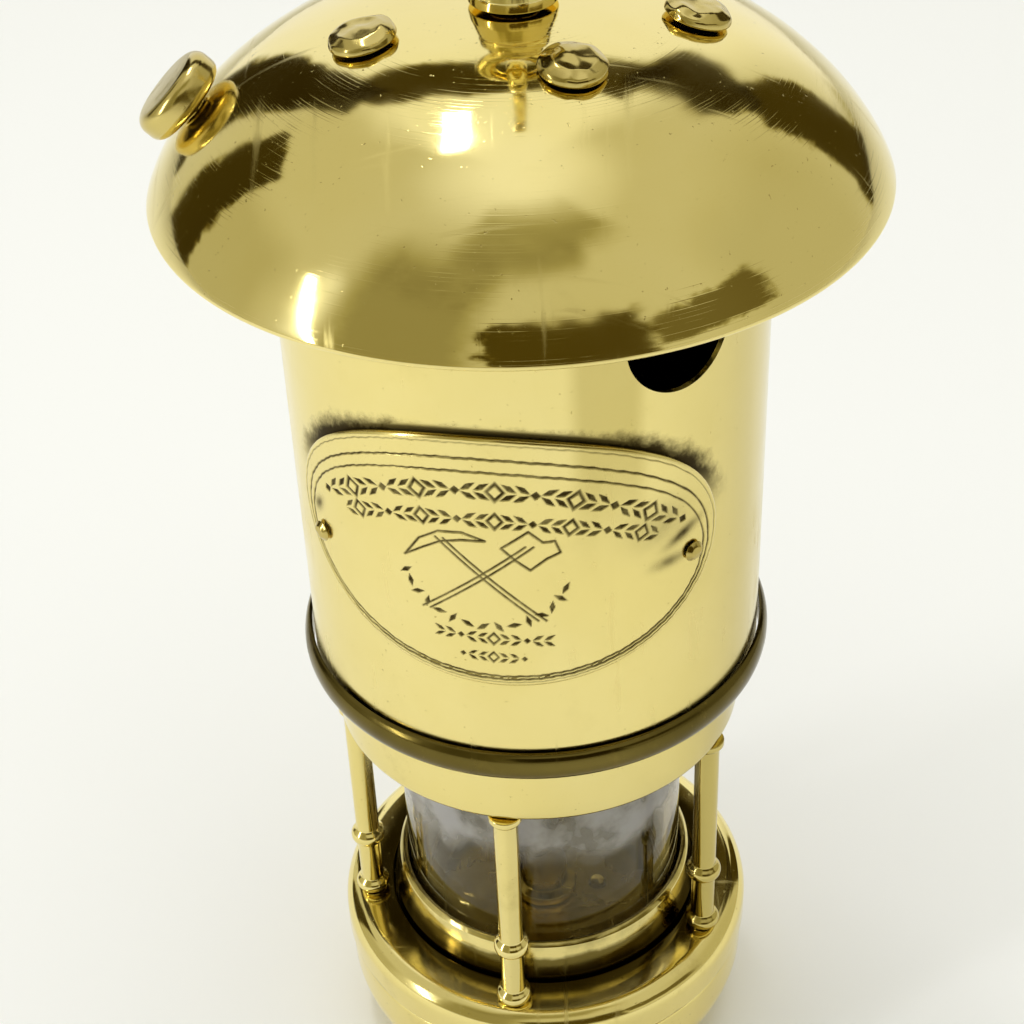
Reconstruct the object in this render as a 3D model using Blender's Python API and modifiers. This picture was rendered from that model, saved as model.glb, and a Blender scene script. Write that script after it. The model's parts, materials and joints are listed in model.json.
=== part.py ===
"""A miner's flame safety lamp in brass.

A fuel vessel stands below a screwed cage with its glass; above are a bonnet, two gauzes, a hood and a hook.
Sizes here are millimetres, and the helpers turn them into metres. +Z is up. The origin is the centre of the
foot, on the surface that the lamp stands on. Azimuths are degrees about Z from the front (-Y) to +X.
"""

import math

import bmesh
import bpy
from mathutils import Matrix, Vector

MM = 0.001
GAP = 0.3  # clearance between neighbouring pieces
FINE, MEDIUM, COARSE = 36, 20, 10  # segments round a large, a small and a very small piece

# Foot and fuel vessel
FOOT_RADIUS, FOOT_WALL = 30.0, 1.8
VESSEL_RADIUS = 35.5
BOWL_ROUND, BOWL_Z = 11.0, 13.5  # the bowl's corner and the height of its centre
VESSEL_WALL = 1.5
VESSEL_TOP = 19.7
NECK_RADIUS = 26.9
NECK_TOP = 25.2
BOTTOM_PLATE_RADIUS, BOTTOM_PLATE_Z = 27.9, 4.2
PLATE_THICKNESS = 1.3
BURNER_PLATE_RADIUS, BURNER_PLATE_Z = 25.0, 22.2
FLANGE_RADIUS = 5.6  # the wick tube's collar and the filler plug's head

# Wick gear
WICK_RADIUS = 2.7
WICK_BOTTOM, WICK_TOP = 8.0, 42.0
WICK_TUBE_RADIUS = 4.0
WICK_TUBE_BOTTOM, WICK_TUBE_TOP = 21.6, 40.0
SPINDLE_X = 9.5
SPINDLE_RADIUS = 1.2
BUSH_RADIUS, BUSH_BORE, BUSH_RISE = 3.0, 1.55, 1.6
CARRIER_Z, CARRIER_HEIGHT = 9.0, 2.6
WICK_KNOB_RADIUS, WICK_KNOB_BOTTOM, WICK_KNOB_TOP = 12.0, 0.6, 3.2
WICK_KNOB_NOTCHES = 30
PLUG_X, PLUG_RADIUS = -14.0, 3.4

# Cage
CAGE_RADIUS = 36.0
CAGE_BOTTOM, CAGE_FLOOR = 20.0, 27.5
CAGE_BORE = 27.3
CAGE_SHOULDER = 4.2
TOP_RING_RADIUS = 33.3
TOP_RING_BOTTOM, TOP_RING_TOP = 71.5, 83.7
TOP_RING_EDGE = 1.6
SPIGOT_TOP, SPIGOT_WALL = 90.0, 1.4
GLASS_POCKET, GLASS_LEDGE = 28.3, 25.0  # radii of the top ring's inside, round and above the glass
PILLARS = 5
PILLAR_CIRCLE = 31.0
PILLAR_RADIUS, PILLAR_BEAD_RADIUS, PILLAR_BEAD_Z = 2.0, 2.95, 41.0
FIRST_PILLAR = -11.0
LOCK_SCREW_Z = 23.6
LOCK_SCREW_AZIMUTH = 180.0
LOCK_SCREW_RADIUS, LOCK_HEAD_RADIUS = 1.5, 3.0

# Glass
GLASS_RADIUS, GLASS_WALL = 24.0, 2.5
GLASS_BOTTOM, GLASS_TOP = 29.0, 78.0
SEAT_RADIUS, SEAT_TOP = 26.9, 35.0
SEAT_BORE = 18.5
GAUZE_RING_Z, GAUZE_RING_THICKNESS = 79.9, 1.6
GAUZE_WALL = 0.6

# Bonnet and badge
BONNET_RADIUS, BONNET_WALL = 35.9, 0.8
BONNET_BOTTOM, BONNET_TOP = 84.0, 172.0
BEAD_RADIUS, BEAD_HEIGHT = 37.6, 5.0
VENT_RADIUS, VENT_Z = 8.9, 157.0
VENTS = 3
FIRST_VENT = 35.5
CROWN_OPENING = 14.0
BADGE_LENGTH, BADGE_HEIGHT, BADGE_THICKNESS = 68.0, 43.0, 0.8
BADGE_AZIMUTH, BADGE_Z, BADGE_TILT = -8.5, 124.5, -2.5
BADGE_RIVET_OFFSET, BADGE_RIVET_Z = 29.0, 121.0
BADGE_RIVET_RADIUS = 0.7

# Hood
HOOD_RADIUS, HOOD_HEIGHT, HOOD_THICKNESS = 52.0, 25.2, 1.0
HOOD_RIM_Z = 166.0
HOOD_POINTS = 10
# Azimuth and circle of each rivet, spaced by hand as the hood was riveted
RIVETS = ((-67.5, 21.2), (20.0, 20.8), (83.5, 24.2), (156.0, 22.4), (228.0, 21.8))
KNOB_CIRCLE, KNOB_AZIMUTH = 44.1, -90.0
RIVET_SHANK = 1.3
KNOB_RADIUS, KNOB_THICKNESS, KNOB_LIFT = 6.7, 4.4, 0.7
KNOB_SHANK, KNOB_WASHER = 1.6, 3.0

# Swivel and hook
BOSS_RADIUS, BOSS_TOP = 6.3, 199.2
BOSS_HOLE, BOSS_BORE = 3.8, 2.5
BOSS_BOTTOM = 186.0
NUT_RADIUS, NUT_BOTTOM, NUT_TOP = 6.4, 186.4, 189.4
STEM_RADIUS, STEM_FOOT = 2.2, 3.4
EYE_Z, EYE_RADIUS, EYE_WIRE = 207.4, 5.0, 1.6
HOOK_WIRE, HOOK_LOOP, HOOK_BOW = 1.7, 4.2, 13.0
HOOK_BOW_Z = 238.0

for old in list(bpy.data.objects):
    bpy.data.objects.remove(old, do_unlink=True)

LAMP = bpy.data.collections.new("miners_safety_lamp")
CUTTERS = bpy.data.collections.new("cutters")
bpy.context.scene.collection.children.link(LAMP)
bpy.context.scene.collection.children.link(CUTTERS)


def finish(name, colour, roughness, metallic, transmission=0.0):
    material = bpy.data.materials.new(name)
    material.use_nodes = True
    shader = material.node_tree.nodes["Principled BSDF"]
    shader.inputs["Base Color"].default_value = (*colour, 1.0)
    shader.inputs["Roughness"].default_value = roughness
    shader.inputs["Metallic"].default_value = metallic
    shader.inputs["Transmission Weight"].default_value = transmission
    return material


BRASS = finish("polished_brass", (0.78, 0.64, 0.22), 0.14, 1.0)
DARK_BRASS = finish("tarnished_brass", (0.42, 0.34, 0.12), 0.32, 1.0)
GLASS = finish("chimney_glass", (0.95, 0.97, 0.98), 0.02, 0.0, 1.0)
GAUZE = finish("iron_gauze", (0.10, 0.09, 0.08), 0.55, 0.8)
GASKET = finish("gasket_board", (0.30, 0.27, 0.22), 0.85, 0.0)
COTTON = finish("cotton_wick", (0.86, 0.82, 0.72), 0.95, 0.0)


def add(name, mesh, material, collection=LAMP):
    obj = bpy.data.objects.new(name, mesh)
    collection.objects.link(obj)
    obj.data.materials.append(material)
    if collection is CUTTERS:
        obj.hide_render = True
        obj.display_type = "WIRE"
    return obj


def turned(name, profile, material, steps=FINE, collection=LAMP):
    """A solid turned about its own Z from (radius, height) pairs that run down its outer side.

    A profile that starts and ends on the axis makes a solid piece; any other is closed into a ring.
    """
    points = [(radius * MM, 0.0, height * MM) for radius, height in profile]
    edges = [(i, i + 1) for i in range(len(points) - 1)]
    if profile[0][0] > 0:
        edges.append((len(points) - 1, 0))
    mesh = bpy.data.meshes.new(name)
    mesh.from_pydata(points, edges, [])
    obj = add(name, mesh, material, collection)
    screw = obj.modifiers.new("Turn", "SCREW")
    screw.steps = steps
    screw.render_steps = steps
    screw.use_merge_vertices = True
    screw.merge_threshold = 0.00001
    screw.use_smooth_shade = True
    return obj


def rod(name, radius, low, high, material, steps=COARSE, collection=LAMP, squash=1.0):
    """A plain cylinder on its own Z from low to high, narrowed along X by squash."""
    work = bmesh.new()
    bmesh.ops.create_cone(
        work, cap_ends=True, segments=steps, radius1=radius * MM, radius2=radius * MM, depth=(high - low) * MM
    )
    bmesh.ops.transform(work, matrix=Matrix.Diagonal((squash, 1.0, 1.0, 1.0)), verts=work.verts)
    bmesh.ops.translate(work, vec=(0.0, 0.0, (low + high) / 2 * MM), verts=work.verts)
    mesh = bpy.data.meshes.new(name)
    work.to_mesh(mesh)
    work.free()
    mesh.shade_smooth()
    mesh.set_sharp_from_angle(angle=math.radians(40))
    return add(name, mesh, material, collection)


def combine(obj, other, operation):
    boolean = obj.modifiers.new(operation.title(), "BOOLEAN")
    boolean.operation = operation
    boolean.solver = "EXACT"
    boolean.object = other


def cut(obj, cutter):
    combine(obj, cutter, "DIFFERENCE")


def around(azimuth, radius, height=0.0):
    """The point at this azimuth, radius and height."""
    angle = math.radians(azimuth)
    return Vector((radius * math.sin(angle), -radius * math.cos(angle), height)) * MM


def place(obj, point, direction=(0.0, 0.0, 1.0)):
    """Puts the object's origin at the point, with its own Z along the direction."""
    obj.location = point
    obj.rotation_euler = Vector(direction).to_track_quat("Z", "Y").to_euler()
    return obj


def outward(azimuth):
    return around(azimuth, 1.0).normalized()


def arc(centre, radius, start, end, count):
    """Points on an arc, by degrees, in the plane of a profile."""
    angles = [math.radians(start + (end - start) * i / (count - 1)) for i in range(count)]
    return [(centre[0] + radius * math.cos(a), centre[1] + radius * math.sin(a)) for a in angles]


def ring(name, inner, outer, low, high, material, steps=FINE):
    return turned(name, [(outer, high), (outer, low), (inner, low), (inner, high)], material, steps)


def hood_outline(share):
    """(radius, height) of the hood's outside: share runs from 0 at the crown to 1 at the rim."""
    turn = math.radians(90.0 * (1.0 - share))
    radius = HOOD_RADIUS * max(math.cos(turn), 0.0) ** 0.70
    return radius, HOOD_RIM_Z + HOOD_HEIGHT * math.sin(turn) ** 1.59


def hood_normal(share):
    """The outward normal of the hood's outline, as (radius, height)."""
    step = 0.002
    near, far = hood_outline(max(share - step, 0.0)), hood_outline(min(share + step, 1.0))
    slope = Vector((near[1] - far[1], far[0] - near[0]))
    return slope.normalized()


def hood_share(radius):
    """The share of the outline at which the hood has this radius."""
    return 1.0 - math.degrees(math.acos((radius / HOOD_RADIUS) ** (1 / 0.70))) / 90.0


def on_hood(azimuth, radius):
    """The point on the hood's outside and the direction that it faces."""
    share = hood_share(radius)
    across, up = hood_normal(share)
    direction = outward(azimuth) * across + Vector((0.0, 0.0, up))
    return around(azimuth, radius, hood_outline(share)[1]), direction


def make_fuel_vessel():
    centre, edge = (VESSEL_RADIUS - BOWL_ROUND, BOWL_Z), 1.2
    bowl = arc(centre, BOWL_ROUND, 0, -62, 6)
    foot = [(FOOT_RADIUS + 0.6, 2.6), (FOOT_RADIUS, 1.6), (FOOT_RADIUS, 0.0)]
    inner_foot = [(FOOT_RADIUS - FOOT_WALL, 0.0), (FOOT_RADIUS - FOOT_WALL, 3.4)]
    inner_bowl = arc(centre, BOWL_ROUND - VESSEL_WALL, -62, 0, 5)
    shoulder = arc((VESSEL_RADIUS - edge, VESSEL_TOP - edge), edge, 80, 0, 4)
    inner_neck = NECK_RADIUS - VESSEL_WALL
    profile = [(NECK_RADIUS, NECK_TOP), (NECK_RADIUS, VESSEL_TOP)] + shoulder + bowl + foot + inner_foot
    profile += inner_bowl
    profile += [(VESSEL_RADIUS - VESSEL_WALL, VESSEL_TOP - VESSEL_WALL - 0.8)]
    profile += [(inner_neck, VESSEL_TOP - VESSEL_WALL), (inner_neck, NECK_TOP)]
    turned("fuel_vessel", profile, BRASS)


def make_vessel_fittings():
    plate_top = BOTTOM_PLATE_Z + PLATE_THICKNESS
    plate = rod("vessel_bottom_plate", BOTTOM_PLATE_RADIUS, BOTTOM_PLATE_Z, plate_top, BRASS, FINE)
    hole = rod("cut_bush_hole", BUSH_RADIUS + GAP, 0.0, 10.0, BRASS, COARSE, CUTTERS)
    cut(plate, place(hole, (SPINDLE_X * MM, 0.0, 0.0)))
    hole = rod("cut_filler_hole", PLUG_RADIUS + GAP + 0.1, 0.0, 10.0, BRASS, COARSE, CUTTERS)
    cut(plate, place(hole, (PLUG_X * MM, 0.0, 0.0)))

    bush = [(BUSH_RADIUS, plate_top + BUSH_RISE), (BUSH_RADIUS, BOTTOM_PLATE_Z - GAP)]
    bush += [(BUSH_BORE, BOTTOM_PLATE_Z - GAP), (BUSH_BORE, plate_top + BUSH_RISE)]
    place(turned("spindle_bush", bush, BRASS, COARSE), (SPINDLE_X * MM, 0.0, 0.0))

    head_top = BOTTOM_PLATE_Z - GAP
    plug = [(0.0, plate_top + 1.2), (PLUG_RADIUS - 0.2, plate_top + 1.2), (PLUG_RADIUS, plate_top + 0.8)]
    plug += [(PLUG_RADIUS, head_top), (FLANGE_RADIUS, head_top), (FLANGE_RADIUS, head_top - 1.8)]
    plug += [(FLANGE_RADIUS - 0.4, head_top - 2.2), (0.0, head_top - 2.2)]
    plug = place(turned("filler_plug", plug, BRASS, 16), (PLUG_X * MM, 0.0, 0.0))
    slot = rod("cut_plug_slot", 5.0, -1.0, head_top - 1.2, BRASS, COARSE, CUTTERS, squash=0.13)
    cut(plug, place(slot, (PLUG_X * MM, 0.0, 0.0)))

    plate_top = BURNER_PLATE_Z + 1.2
    rim, inner_rim = BURNER_PLATE_RADIUS, BURNER_PLATE_RADIUS - 1.0
    plate = [(rim, BURNER_PLATE_Z + 2.4), (rim, BURNER_PLATE_Z - 2.0), (inner_rim, BURNER_PLATE_Z - 2.0)]
    plate += [(inner_rim, BURNER_PLATE_Z), (WICK_TUBE_RADIUS + GAP, BURNER_PLATE_Z)]
    plate += [(WICK_TUBE_RADIUS + GAP, plate_top), (inner_rim, plate_top), (inner_rim, BURNER_PLATE_Z + 2.4)]
    plate = turned("burner_plate", plate, BRASS)
    hole = rod("cut_spindle_hole", SPINDLE_RADIUS + 0.5, 15.0, 30.0, BRASS, COARSE, CUTTERS)
    cut(plate, place(hole, (SPINDLE_X * MM, 0.0, 0.0)))

    tube = [(WICK_TUBE_RADIUS - 0.4, WICK_TUBE_TOP), (WICK_TUBE_RADIUS, WICK_TUBE_TOP - 0.6)]
    tube += [(WICK_TUBE_RADIUS, plate_top + 2.0 + GAP), (FLANGE_RADIUS, plate_top + 1.8)]
    tube += [(FLANGE_RADIUS, plate_top + GAP)]
    tube += [(WICK_TUBE_RADIUS, plate_top + GAP), (WICK_TUBE_RADIUS, WICK_TUBE_BOTTOM)]
    tube += [(WICK_RADIUS + GAP, WICK_TUBE_BOTTOM), (WICK_RADIUS + GAP, WICK_TUBE_TOP)]
    turned("wick_tube", tube, BRASS, 16)


def scalloped(name, radius, low, high, notches, depth, material):
    """A knob whose edge is a ring of small notches."""
    obj = rod(name, radius, low, high, material, notches * 4)
    for vertex in obj.data.vertices:
        angle = math.atan2(vertex.co.y, vertex.co.x)
        shrink = 1.0 - depth * (0.5 - 0.5 * math.cos(notches * angle))
        vertex.co.x *= shrink
        vertex.co.y *= shrink
    return obj


def make_wick_gear():
    wick = [(0.0, WICK_TOP), (WICK_RADIUS - 0.6, WICK_TOP), (WICK_RADIUS, WICK_TOP - 0.8)]
    wick += [(WICK_RADIUS, WICK_BOTTOM), (0.0, WICK_BOTTOM)]
    turned("wick", wick, COTTON, COARSE)

    top = CARRIER_Z + CARRIER_HEIGHT
    carrier = rod("wick_carrier", WICK_RADIUS + 1.7, CARRIER_Z, top, BRASS, 24)
    nut = rod("join_carrier_nut", SPINDLE_RADIUS + 1.9, CARRIER_Z, top, BRASS, COARSE, CUTTERS)
    combine(carrier, place(nut, (SPINDLE_X * MM, 0.0, 0.0)), "UNION")
    arm = rod("join_carrier_arm", 1.4, 2.0, SPINDLE_X - 1.0, BRASS, 8, CUTTERS, squash=0.8)
    combine(carrier, place(arm, (0.0, 0.0, (CARRIER_Z + CARRIER_HEIGHT / 2) * MM), (1.0, 0.0, 0.0)), "UNION")
    cut(carrier, rod("cut_wick_hole", WICK_RADIUS + GAP, 0.0, 30.0, BRASS, COARSE, CUTTERS))
    nut_hole = rod("cut_carrier_nut_hole", SPINDLE_RADIUS + GAP, 0.0, 30.0, BRASS, COARSE, CUTTERS)
    cut(carrier, place(nut_hole, (SPINDLE_X * MM, 0.0, 0.0)))

    centre = (SPINDLE_X * MM, 0.0, 0.0)
    stop, collar = BOTTOM_PLATE_Z + PLATE_THICKNESS + BUSH_RISE + GAP, SPINDLE_RADIUS + 1.0
    spindle = [(0.0, BURNER_PLATE_Z + 2.2), (SPINDLE_RADIUS, BURNER_PLATE_Z + 2.0)]
    spindle += [(SPINDLE_RADIUS, stop + 0.8), (collar, stop + 0.8), (collar, stop), (SPINDLE_RADIUS, stop)]
    spindle += [(SPINDLE_RADIUS, WICK_KNOB_TOP + GAP), (0.0, WICK_KNOB_TOP + GAP)]
    place(turned("wick_spindle", spindle, BRASS, COARSE), centre)
    low, high = WICK_KNOB_BOTTOM, WICK_KNOB_TOP
    place(scalloped("wick_knob", WICK_KNOB_RADIUS, low, high, WICK_KNOB_NOTCHES, 0.04, BRASS), centre)


def make_cage():
    shoulder = arc((CAGE_RADIUS - CAGE_SHOULDER, CAGE_FLOOR - CAGE_SHOULDER), CAGE_SHOULDER, 88, 0, 7)
    lower = [(CAGE_BORE + 0.5, CAGE_FLOOR)] + shoulder
    lower += [(CAGE_RADIUS, CAGE_BOTTOM + 0.5), (CAGE_RADIUS - 0.5, CAGE_BOTTOM)]
    lower += [(CAGE_BORE, CAGE_BOTTOM), (CAGE_BORE, CAGE_FLOOR - 0.5)]
    lower_ring = turned("cage_lower_ring", lower, BRASS)
    screw_hole = rod("cut_lock_screw_hole", LOCK_SCREW_RADIUS + GAP, 20.0, 40.0, BRASS, COARSE, CUTTERS)
    cut(lower_ring, place(screw_hole, (0.0, 0.0, LOCK_SCREW_Z * MM), outward(LOCK_SCREW_AZIMUTH)))

    edge = TOP_RING_EDGE
    lower_edge = arc((TOP_RING_RADIUS - edge, TOP_RING_BOTTOM + edge), edge, 0, -90, 4)
    spigot, ceiling = BONNET_RADIUS - BONNET_WALL - GAP, GAUZE_RING_Z + GAUZE_RING_THICKNESS + 0.5
    upper = [(spigot, SPIGOT_TOP), (spigot, BONNET_BOTTOM + GAP), (TOP_RING_RADIUS, TOP_RING_TOP)]
    upper += lower_edge
    upper += [(GLASS_POCKET, TOP_RING_BOTTOM), (GLASS_POCKET, ceiling), (GLASS_LEDGE, ceiling)]
    upper += [(GLASS_LEDGE, ceiling + 2.0), (spigot - SPIGOT_WALL, ceiling + 2.0)]
    upper += [(spigot - SPIGOT_WALL, SPIGOT_TOP)]
    turned("cage_top_ring", upper, BRASS)

    low, high, bead = CAGE_FLOOR + GAP, TOP_RING_BOTTOM - GAP, PILLAR_BEAD_Z
    collar, crest = PILLAR_BEAD_RADIUS - 0.25, PILLAR_BEAD_RADIUS
    pillar = [(0.0, high), (collar, high), (collar, high - 1.0), (PILLAR_RADIUS, high - 1.8)]
    pillar += [(PILLAR_RADIUS, bead + 1.6), (collar, bead + 0.9), (crest, bead), (collar, bead - 0.9)]
    pillar += [(PILLAR_RADIUS, bead - 1.6), (PILLAR_RADIUS, low + 2.6), (collar, low + 2.0)]
    pillar += [(crest, low + 1.1), (collar + 0.1, low), (0.0, low)]
    for number in range(PILLARS):
        post = turned(f"cage_pillar_{number + 1}", pillar, BRASS, 10)
        place(post, around(FIRST_PILLAR + 360.0 / PILLARS * number, PILLAR_CIRCLE))

    head, seat, tip = CAGE_RADIUS + 3.0, CAGE_RADIUS + GAP, CAGE_BORE + GAP
    screw = [(0.0, head), (LOCK_HEAD_RADIUS - 0.4, head), (LOCK_HEAD_RADIUS, head - 0.4)]
    screw += [(LOCK_HEAD_RADIUS, seat), (LOCK_SCREW_RADIUS, seat)]
    screw += [(LOCK_SCREW_RADIUS, tip + 0.6), (LOCK_SCREW_RADIUS - 0.7, tip), (0.0, tip)]
    screw = turned("lock_screw", screw, BRASS, COARSE)
    slot_radius, slot_low, slot_high = LOCK_HEAD_RADIUS + 0.5, head - 0.8, head + 1.0
    slot = rod("cut_screw_slot", slot_radius, slot_low, slot_high, BRASS, COARSE, CUTTERS, squash=0.12)
    for obj in (screw, slot):
        place(obj, (0.0, 0.0, LOCK_SCREW_Z * MM), outward(LOCK_SCREW_AZIMUTH))
    cut(screw, slot)


def make_glass():
    inner = GLASS_RADIUS - GLASS_WALL
    edge = 0.5
    chimney = [(GLASS_RADIUS, GLASS_TOP - edge), (GLASS_RADIUS, GLASS_BOTTOM + edge)]
    chimney += [(GLASS_RADIUS - edge, GLASS_BOTTOM), (inner + edge, GLASS_BOTTOM)]
    chimney += [(inner, GLASS_BOTTOM + edge), (inner, GLASS_TOP - edge)]
    chimney += [(inner + edge, GLASS_TOP), (GLASS_RADIUS - edge, GLASS_TOP)]
    turned("glass_chimney", chimney, GLASS)

    floor, seat_floor, bore = NECK_TOP + GAP, NECK_TOP + GAP + 1.6, GLASS_RADIUS + GAP
    seat = [(bore + 0.4, SEAT_TOP), (SEAT_RADIUS - 1.5, SEAT_TOP - 0.2), (SEAT_RADIUS - 1.1, SEAT_TOP - 0.9)]
    seat += [(SEAT_RADIUS - 0.8, SEAT_TOP - 3.0), (SEAT_RADIUS, CAGE_FLOOR + 1.0), (SEAT_RADIUS, floor)]
    seat += [(SEAT_BORE, floor), (SEAT_BORE, seat_floor), (bore, seat_floor), (bore, SEAT_TOP - 0.4)]
    turned("glass_seat_ring", seat, BRASS)

    edge = (inner + 0.2, GLASS_RADIUS - 0.2)
    ring("lower_gasket", *edge, seat_floor + GAP, GLASS_BOTTOM - GAP, GASKET, MEDIUM)
    ring("upper_gasket", *edge, GLASS_TOP + GAP, GAUZE_RING_Z - GAP, GASKET, MEDIUM)


def make_gauzes():
    ring_top = GAUZE_RING_Z + GAUZE_RING_THICKNESS
    ring("gauze_ring", 13.2, GLASS_POCKET - 0.4, GAUZE_RING_Z, ring_top, BRASS, MEDIUM)
    foot, wall = ring_top + GAP, GAUZE_WALL
    for name, low_radius, top_radius, top, flange in (
        ("inner_gauze", 15.6, 13.6, 148.0, 17.4),
        ("outer_gauze", 19.4, 17.4, 158.0, 23.6),
    ):
        gauze = [(0.0, top), (top_radius - 1.0, top), (top_radius, top - 1.0), (low_radius, foot + wall)]
        gauze += [(flange, foot + wall), (flange, foot), (low_radius - wall, foot)]
        gauze += [(top_radius - wall, top - 1.2), (top_radius - 1.2, top - wall), (0.0, top - wall)]
        turned(name, gauze, GAUZE, MEDIUM)


def make_bonnet():
    inner = BONNET_RADIUS - BONNET_WALL
    bonnet = ring("bonnet", inner, BONNET_RADIUS, BONNET_BOTTOM, BONNET_TOP, BRASS)
    for number in range(VENTS):
        vent = rod(f"cut_vent_{number + 1}", VENT_RADIUS, 25.0, 45.0, BRASS, 20, CUTTERS)
        azimuth = FIRST_VENT + 360.0 / VENTS * number
        cut(bonnet, place(vent, (0.0, 0.0, VENT_Z * MM), outward(azimuth)))

    half = BEAD_HEIGHT / 2
    middle = BONNET_BOTTOM + 0.2 + half
    depth = BEAD_RADIUS - BONNET_RADIUS - GAP
    angles = [math.radians(a) for a in range(90, -91, -30)]
    bead = [(BONNET_RADIUS + GAP + depth * math.cos(a), middle + half * math.sin(a)) for a in angles]
    turned("bonnet_bead", bead, BRASS)

    edge, wall, skirt, lip = inner - GAP, 0.9, BONNET_TOP - 5.0, BONNET_TOP - 3.5
    crown = [(edge, BONNET_TOP), (edge, skirt), (edge - wall, skirt), (edge - wall, BONNET_TOP - 1.0)]
    crown += [(CROWN_OPENING + wall, BONNET_TOP - 1.0), (CROWN_OPENING + wall, lip)]
    crown += [(CROWN_OPENING, lip), (CROWN_OPENING, BONNET_TOP)]
    turned("bonnet_crown", crown, DARK_BRASS, MEDIUM)
    make_badge(bonnet)


def make_badge(bonnet):
    """The oval plate is a square grid pressed into an ellipse and wrapped round the bonnet."""
    radius = BONNET_RADIUS + GAP
    tilt = Matrix.Rotation(math.radians(BADGE_TILT), 2)
    work = bmesh.new()
    bmesh.ops.create_grid(work, x_segments=16, y_segments=8, size=1.0)
    for vertex in work.verts:
        x, y = vertex.co.x, vertex.co.y
        across, tall = x * math.sqrt(1 - y * y / 2), y * math.sqrt(1 - x * x / 2)
        along, up = tilt @ Vector((across * BADGE_LENGTH / 2, tall * BADGE_HEIGHT / 2))
        vertex.co = around(BADGE_AZIMUTH + math.degrees(along / radius), radius, BADGE_Z + up)
    mesh = bpy.data.meshes.new("badge")
    work.to_mesh(mesh)
    work.free()
    badge = add("badge", mesh, BRASS)
    thick = badge.modifiers.new("Thickness", "SOLIDIFY")
    thick.thickness = BADGE_THICKNESS * MM
    thick.offset = 1.0

    face = radius + BADGE_THICKNESS
    shank, tip = BADGE_RIVET_RADIUS, BONNET_RADIUS - BONNET_WALL - 0.6
    head = [(0.0, face + GAP + 0.8), (0.9, face + GAP + 0.6), (1.6, face + GAP), (shank, face + GAP)]
    head += [(shank, tip), (0.0, tip)]
    for name, side in (("left", -1.0), ("right", 1.0)):
        azimuth = BADGE_AZIMUTH + side * math.degrees(BADGE_RIVET_OFFSET / radius)
        rivet = turned(f"badge_rivet_{name}", head, BRASS, 10)
        hole = rod(f"cut_badge_rivet_{name}", shank + GAP, 30.0, 40.0, BRASS, 12, CUTTERS)
        for obj in (rivet, hole):
            place(obj, (0.0, 0.0, BADGE_RIVET_Z * MM), outward(azimuth))
        cut(badge, hole)
        cut(bonnet, hole)


def make_hood():
    first = hood_share(BOSS_HOLE)
    shares = [first + (1.0 - first) * i / (HOOD_POINTS - 1) for i in range(HOOD_POINTS)]
    outside = [hood_outline(share) for share in shares]
    inside = []
    for share, (radius, height) in zip(shares, outside):
        across, up = hood_normal(share)
        inside.append((radius - across * HOOD_THICKNESS, height - up * HOOD_THICKNESS))
    inside[0] = (outside[0][0], inside[0][1])
    inside[-1] = (inside[-1][0], outside[-1][1])
    hood = turned("hood", outside + inside[::-1], BRASS)

    head = [(0.0, 2.4), (2.0, 2.15), (3.7, 1.5), (4.5, 0.8), (4.6, GAP)]
    head += [(RIVET_SHANK, GAP), (RIVET_SHANK, -4.4), (0.0, -4.4)]
    crown_top = BONNET_TOP + GAP
    for number, (azimuth, circle) in enumerate(RIVETS, 1):
        point, direction = on_hood(azimuth, circle)
        place(turned(f"hood_rivet_{number}", head, BRASS, 14), point, direction)
        hole = rod(f"cut_rivet_{number}", RIVET_SHANK + GAP, -6.0, 6.0, BRASS, 12, CUTTERS)
        cut(hood, place(hole, point, direction))
        mouth = hood_outline(hood_share(circle + 3.2))[1] - HOOD_THICKNESS - 2 * GAP
        post = [(0.0, mouth - 7.0), (2.4, mouth - 6.0), (2.4, mouth), (3.1, mouth), (3.1, crown_top + 1.6)]
        post += [(4.2, crown_top + 1.2), (4.2, crown_top), (0.0, crown_top)]
        place(turned(f"hood_post_{number}", post, BRASS, 10), around(azimuth, circle))

    point, direction = on_hood(KNOB_AZIMUTH, KNOB_CIRCLE)
    top, low, edge = KNOB_LIFT + KNOB_THICKNESS, KNOB_LIFT, 1.4
    knob = [(0.0, top)] + arc((KNOB_RADIUS - edge, top - edge), edge, 90, 0, 4)
    knob += arc((KNOB_RADIUS - edge, low + edge), edge, 0, -90, 4)
    under = -HOOD_THICKNESS - GAP
    knob += [(2.6, low), (2.4, GAP), (KNOB_SHANK, GAP), (KNOB_SHANK, under), (KNOB_WASHER, under)]
    knob += [(KNOB_WASHER, under - 1.4), (0.0, under - 1.6)]
    place(turned("hood_knob", knob, BRASS, 20), point, direction)
    hole = rod("cut_knob_hole", KNOB_SHANK + GAP, -6.0, 6.0, BRASS, COARSE, CUTTERS)
    cut(hood, place(hole, point, direction))


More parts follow.
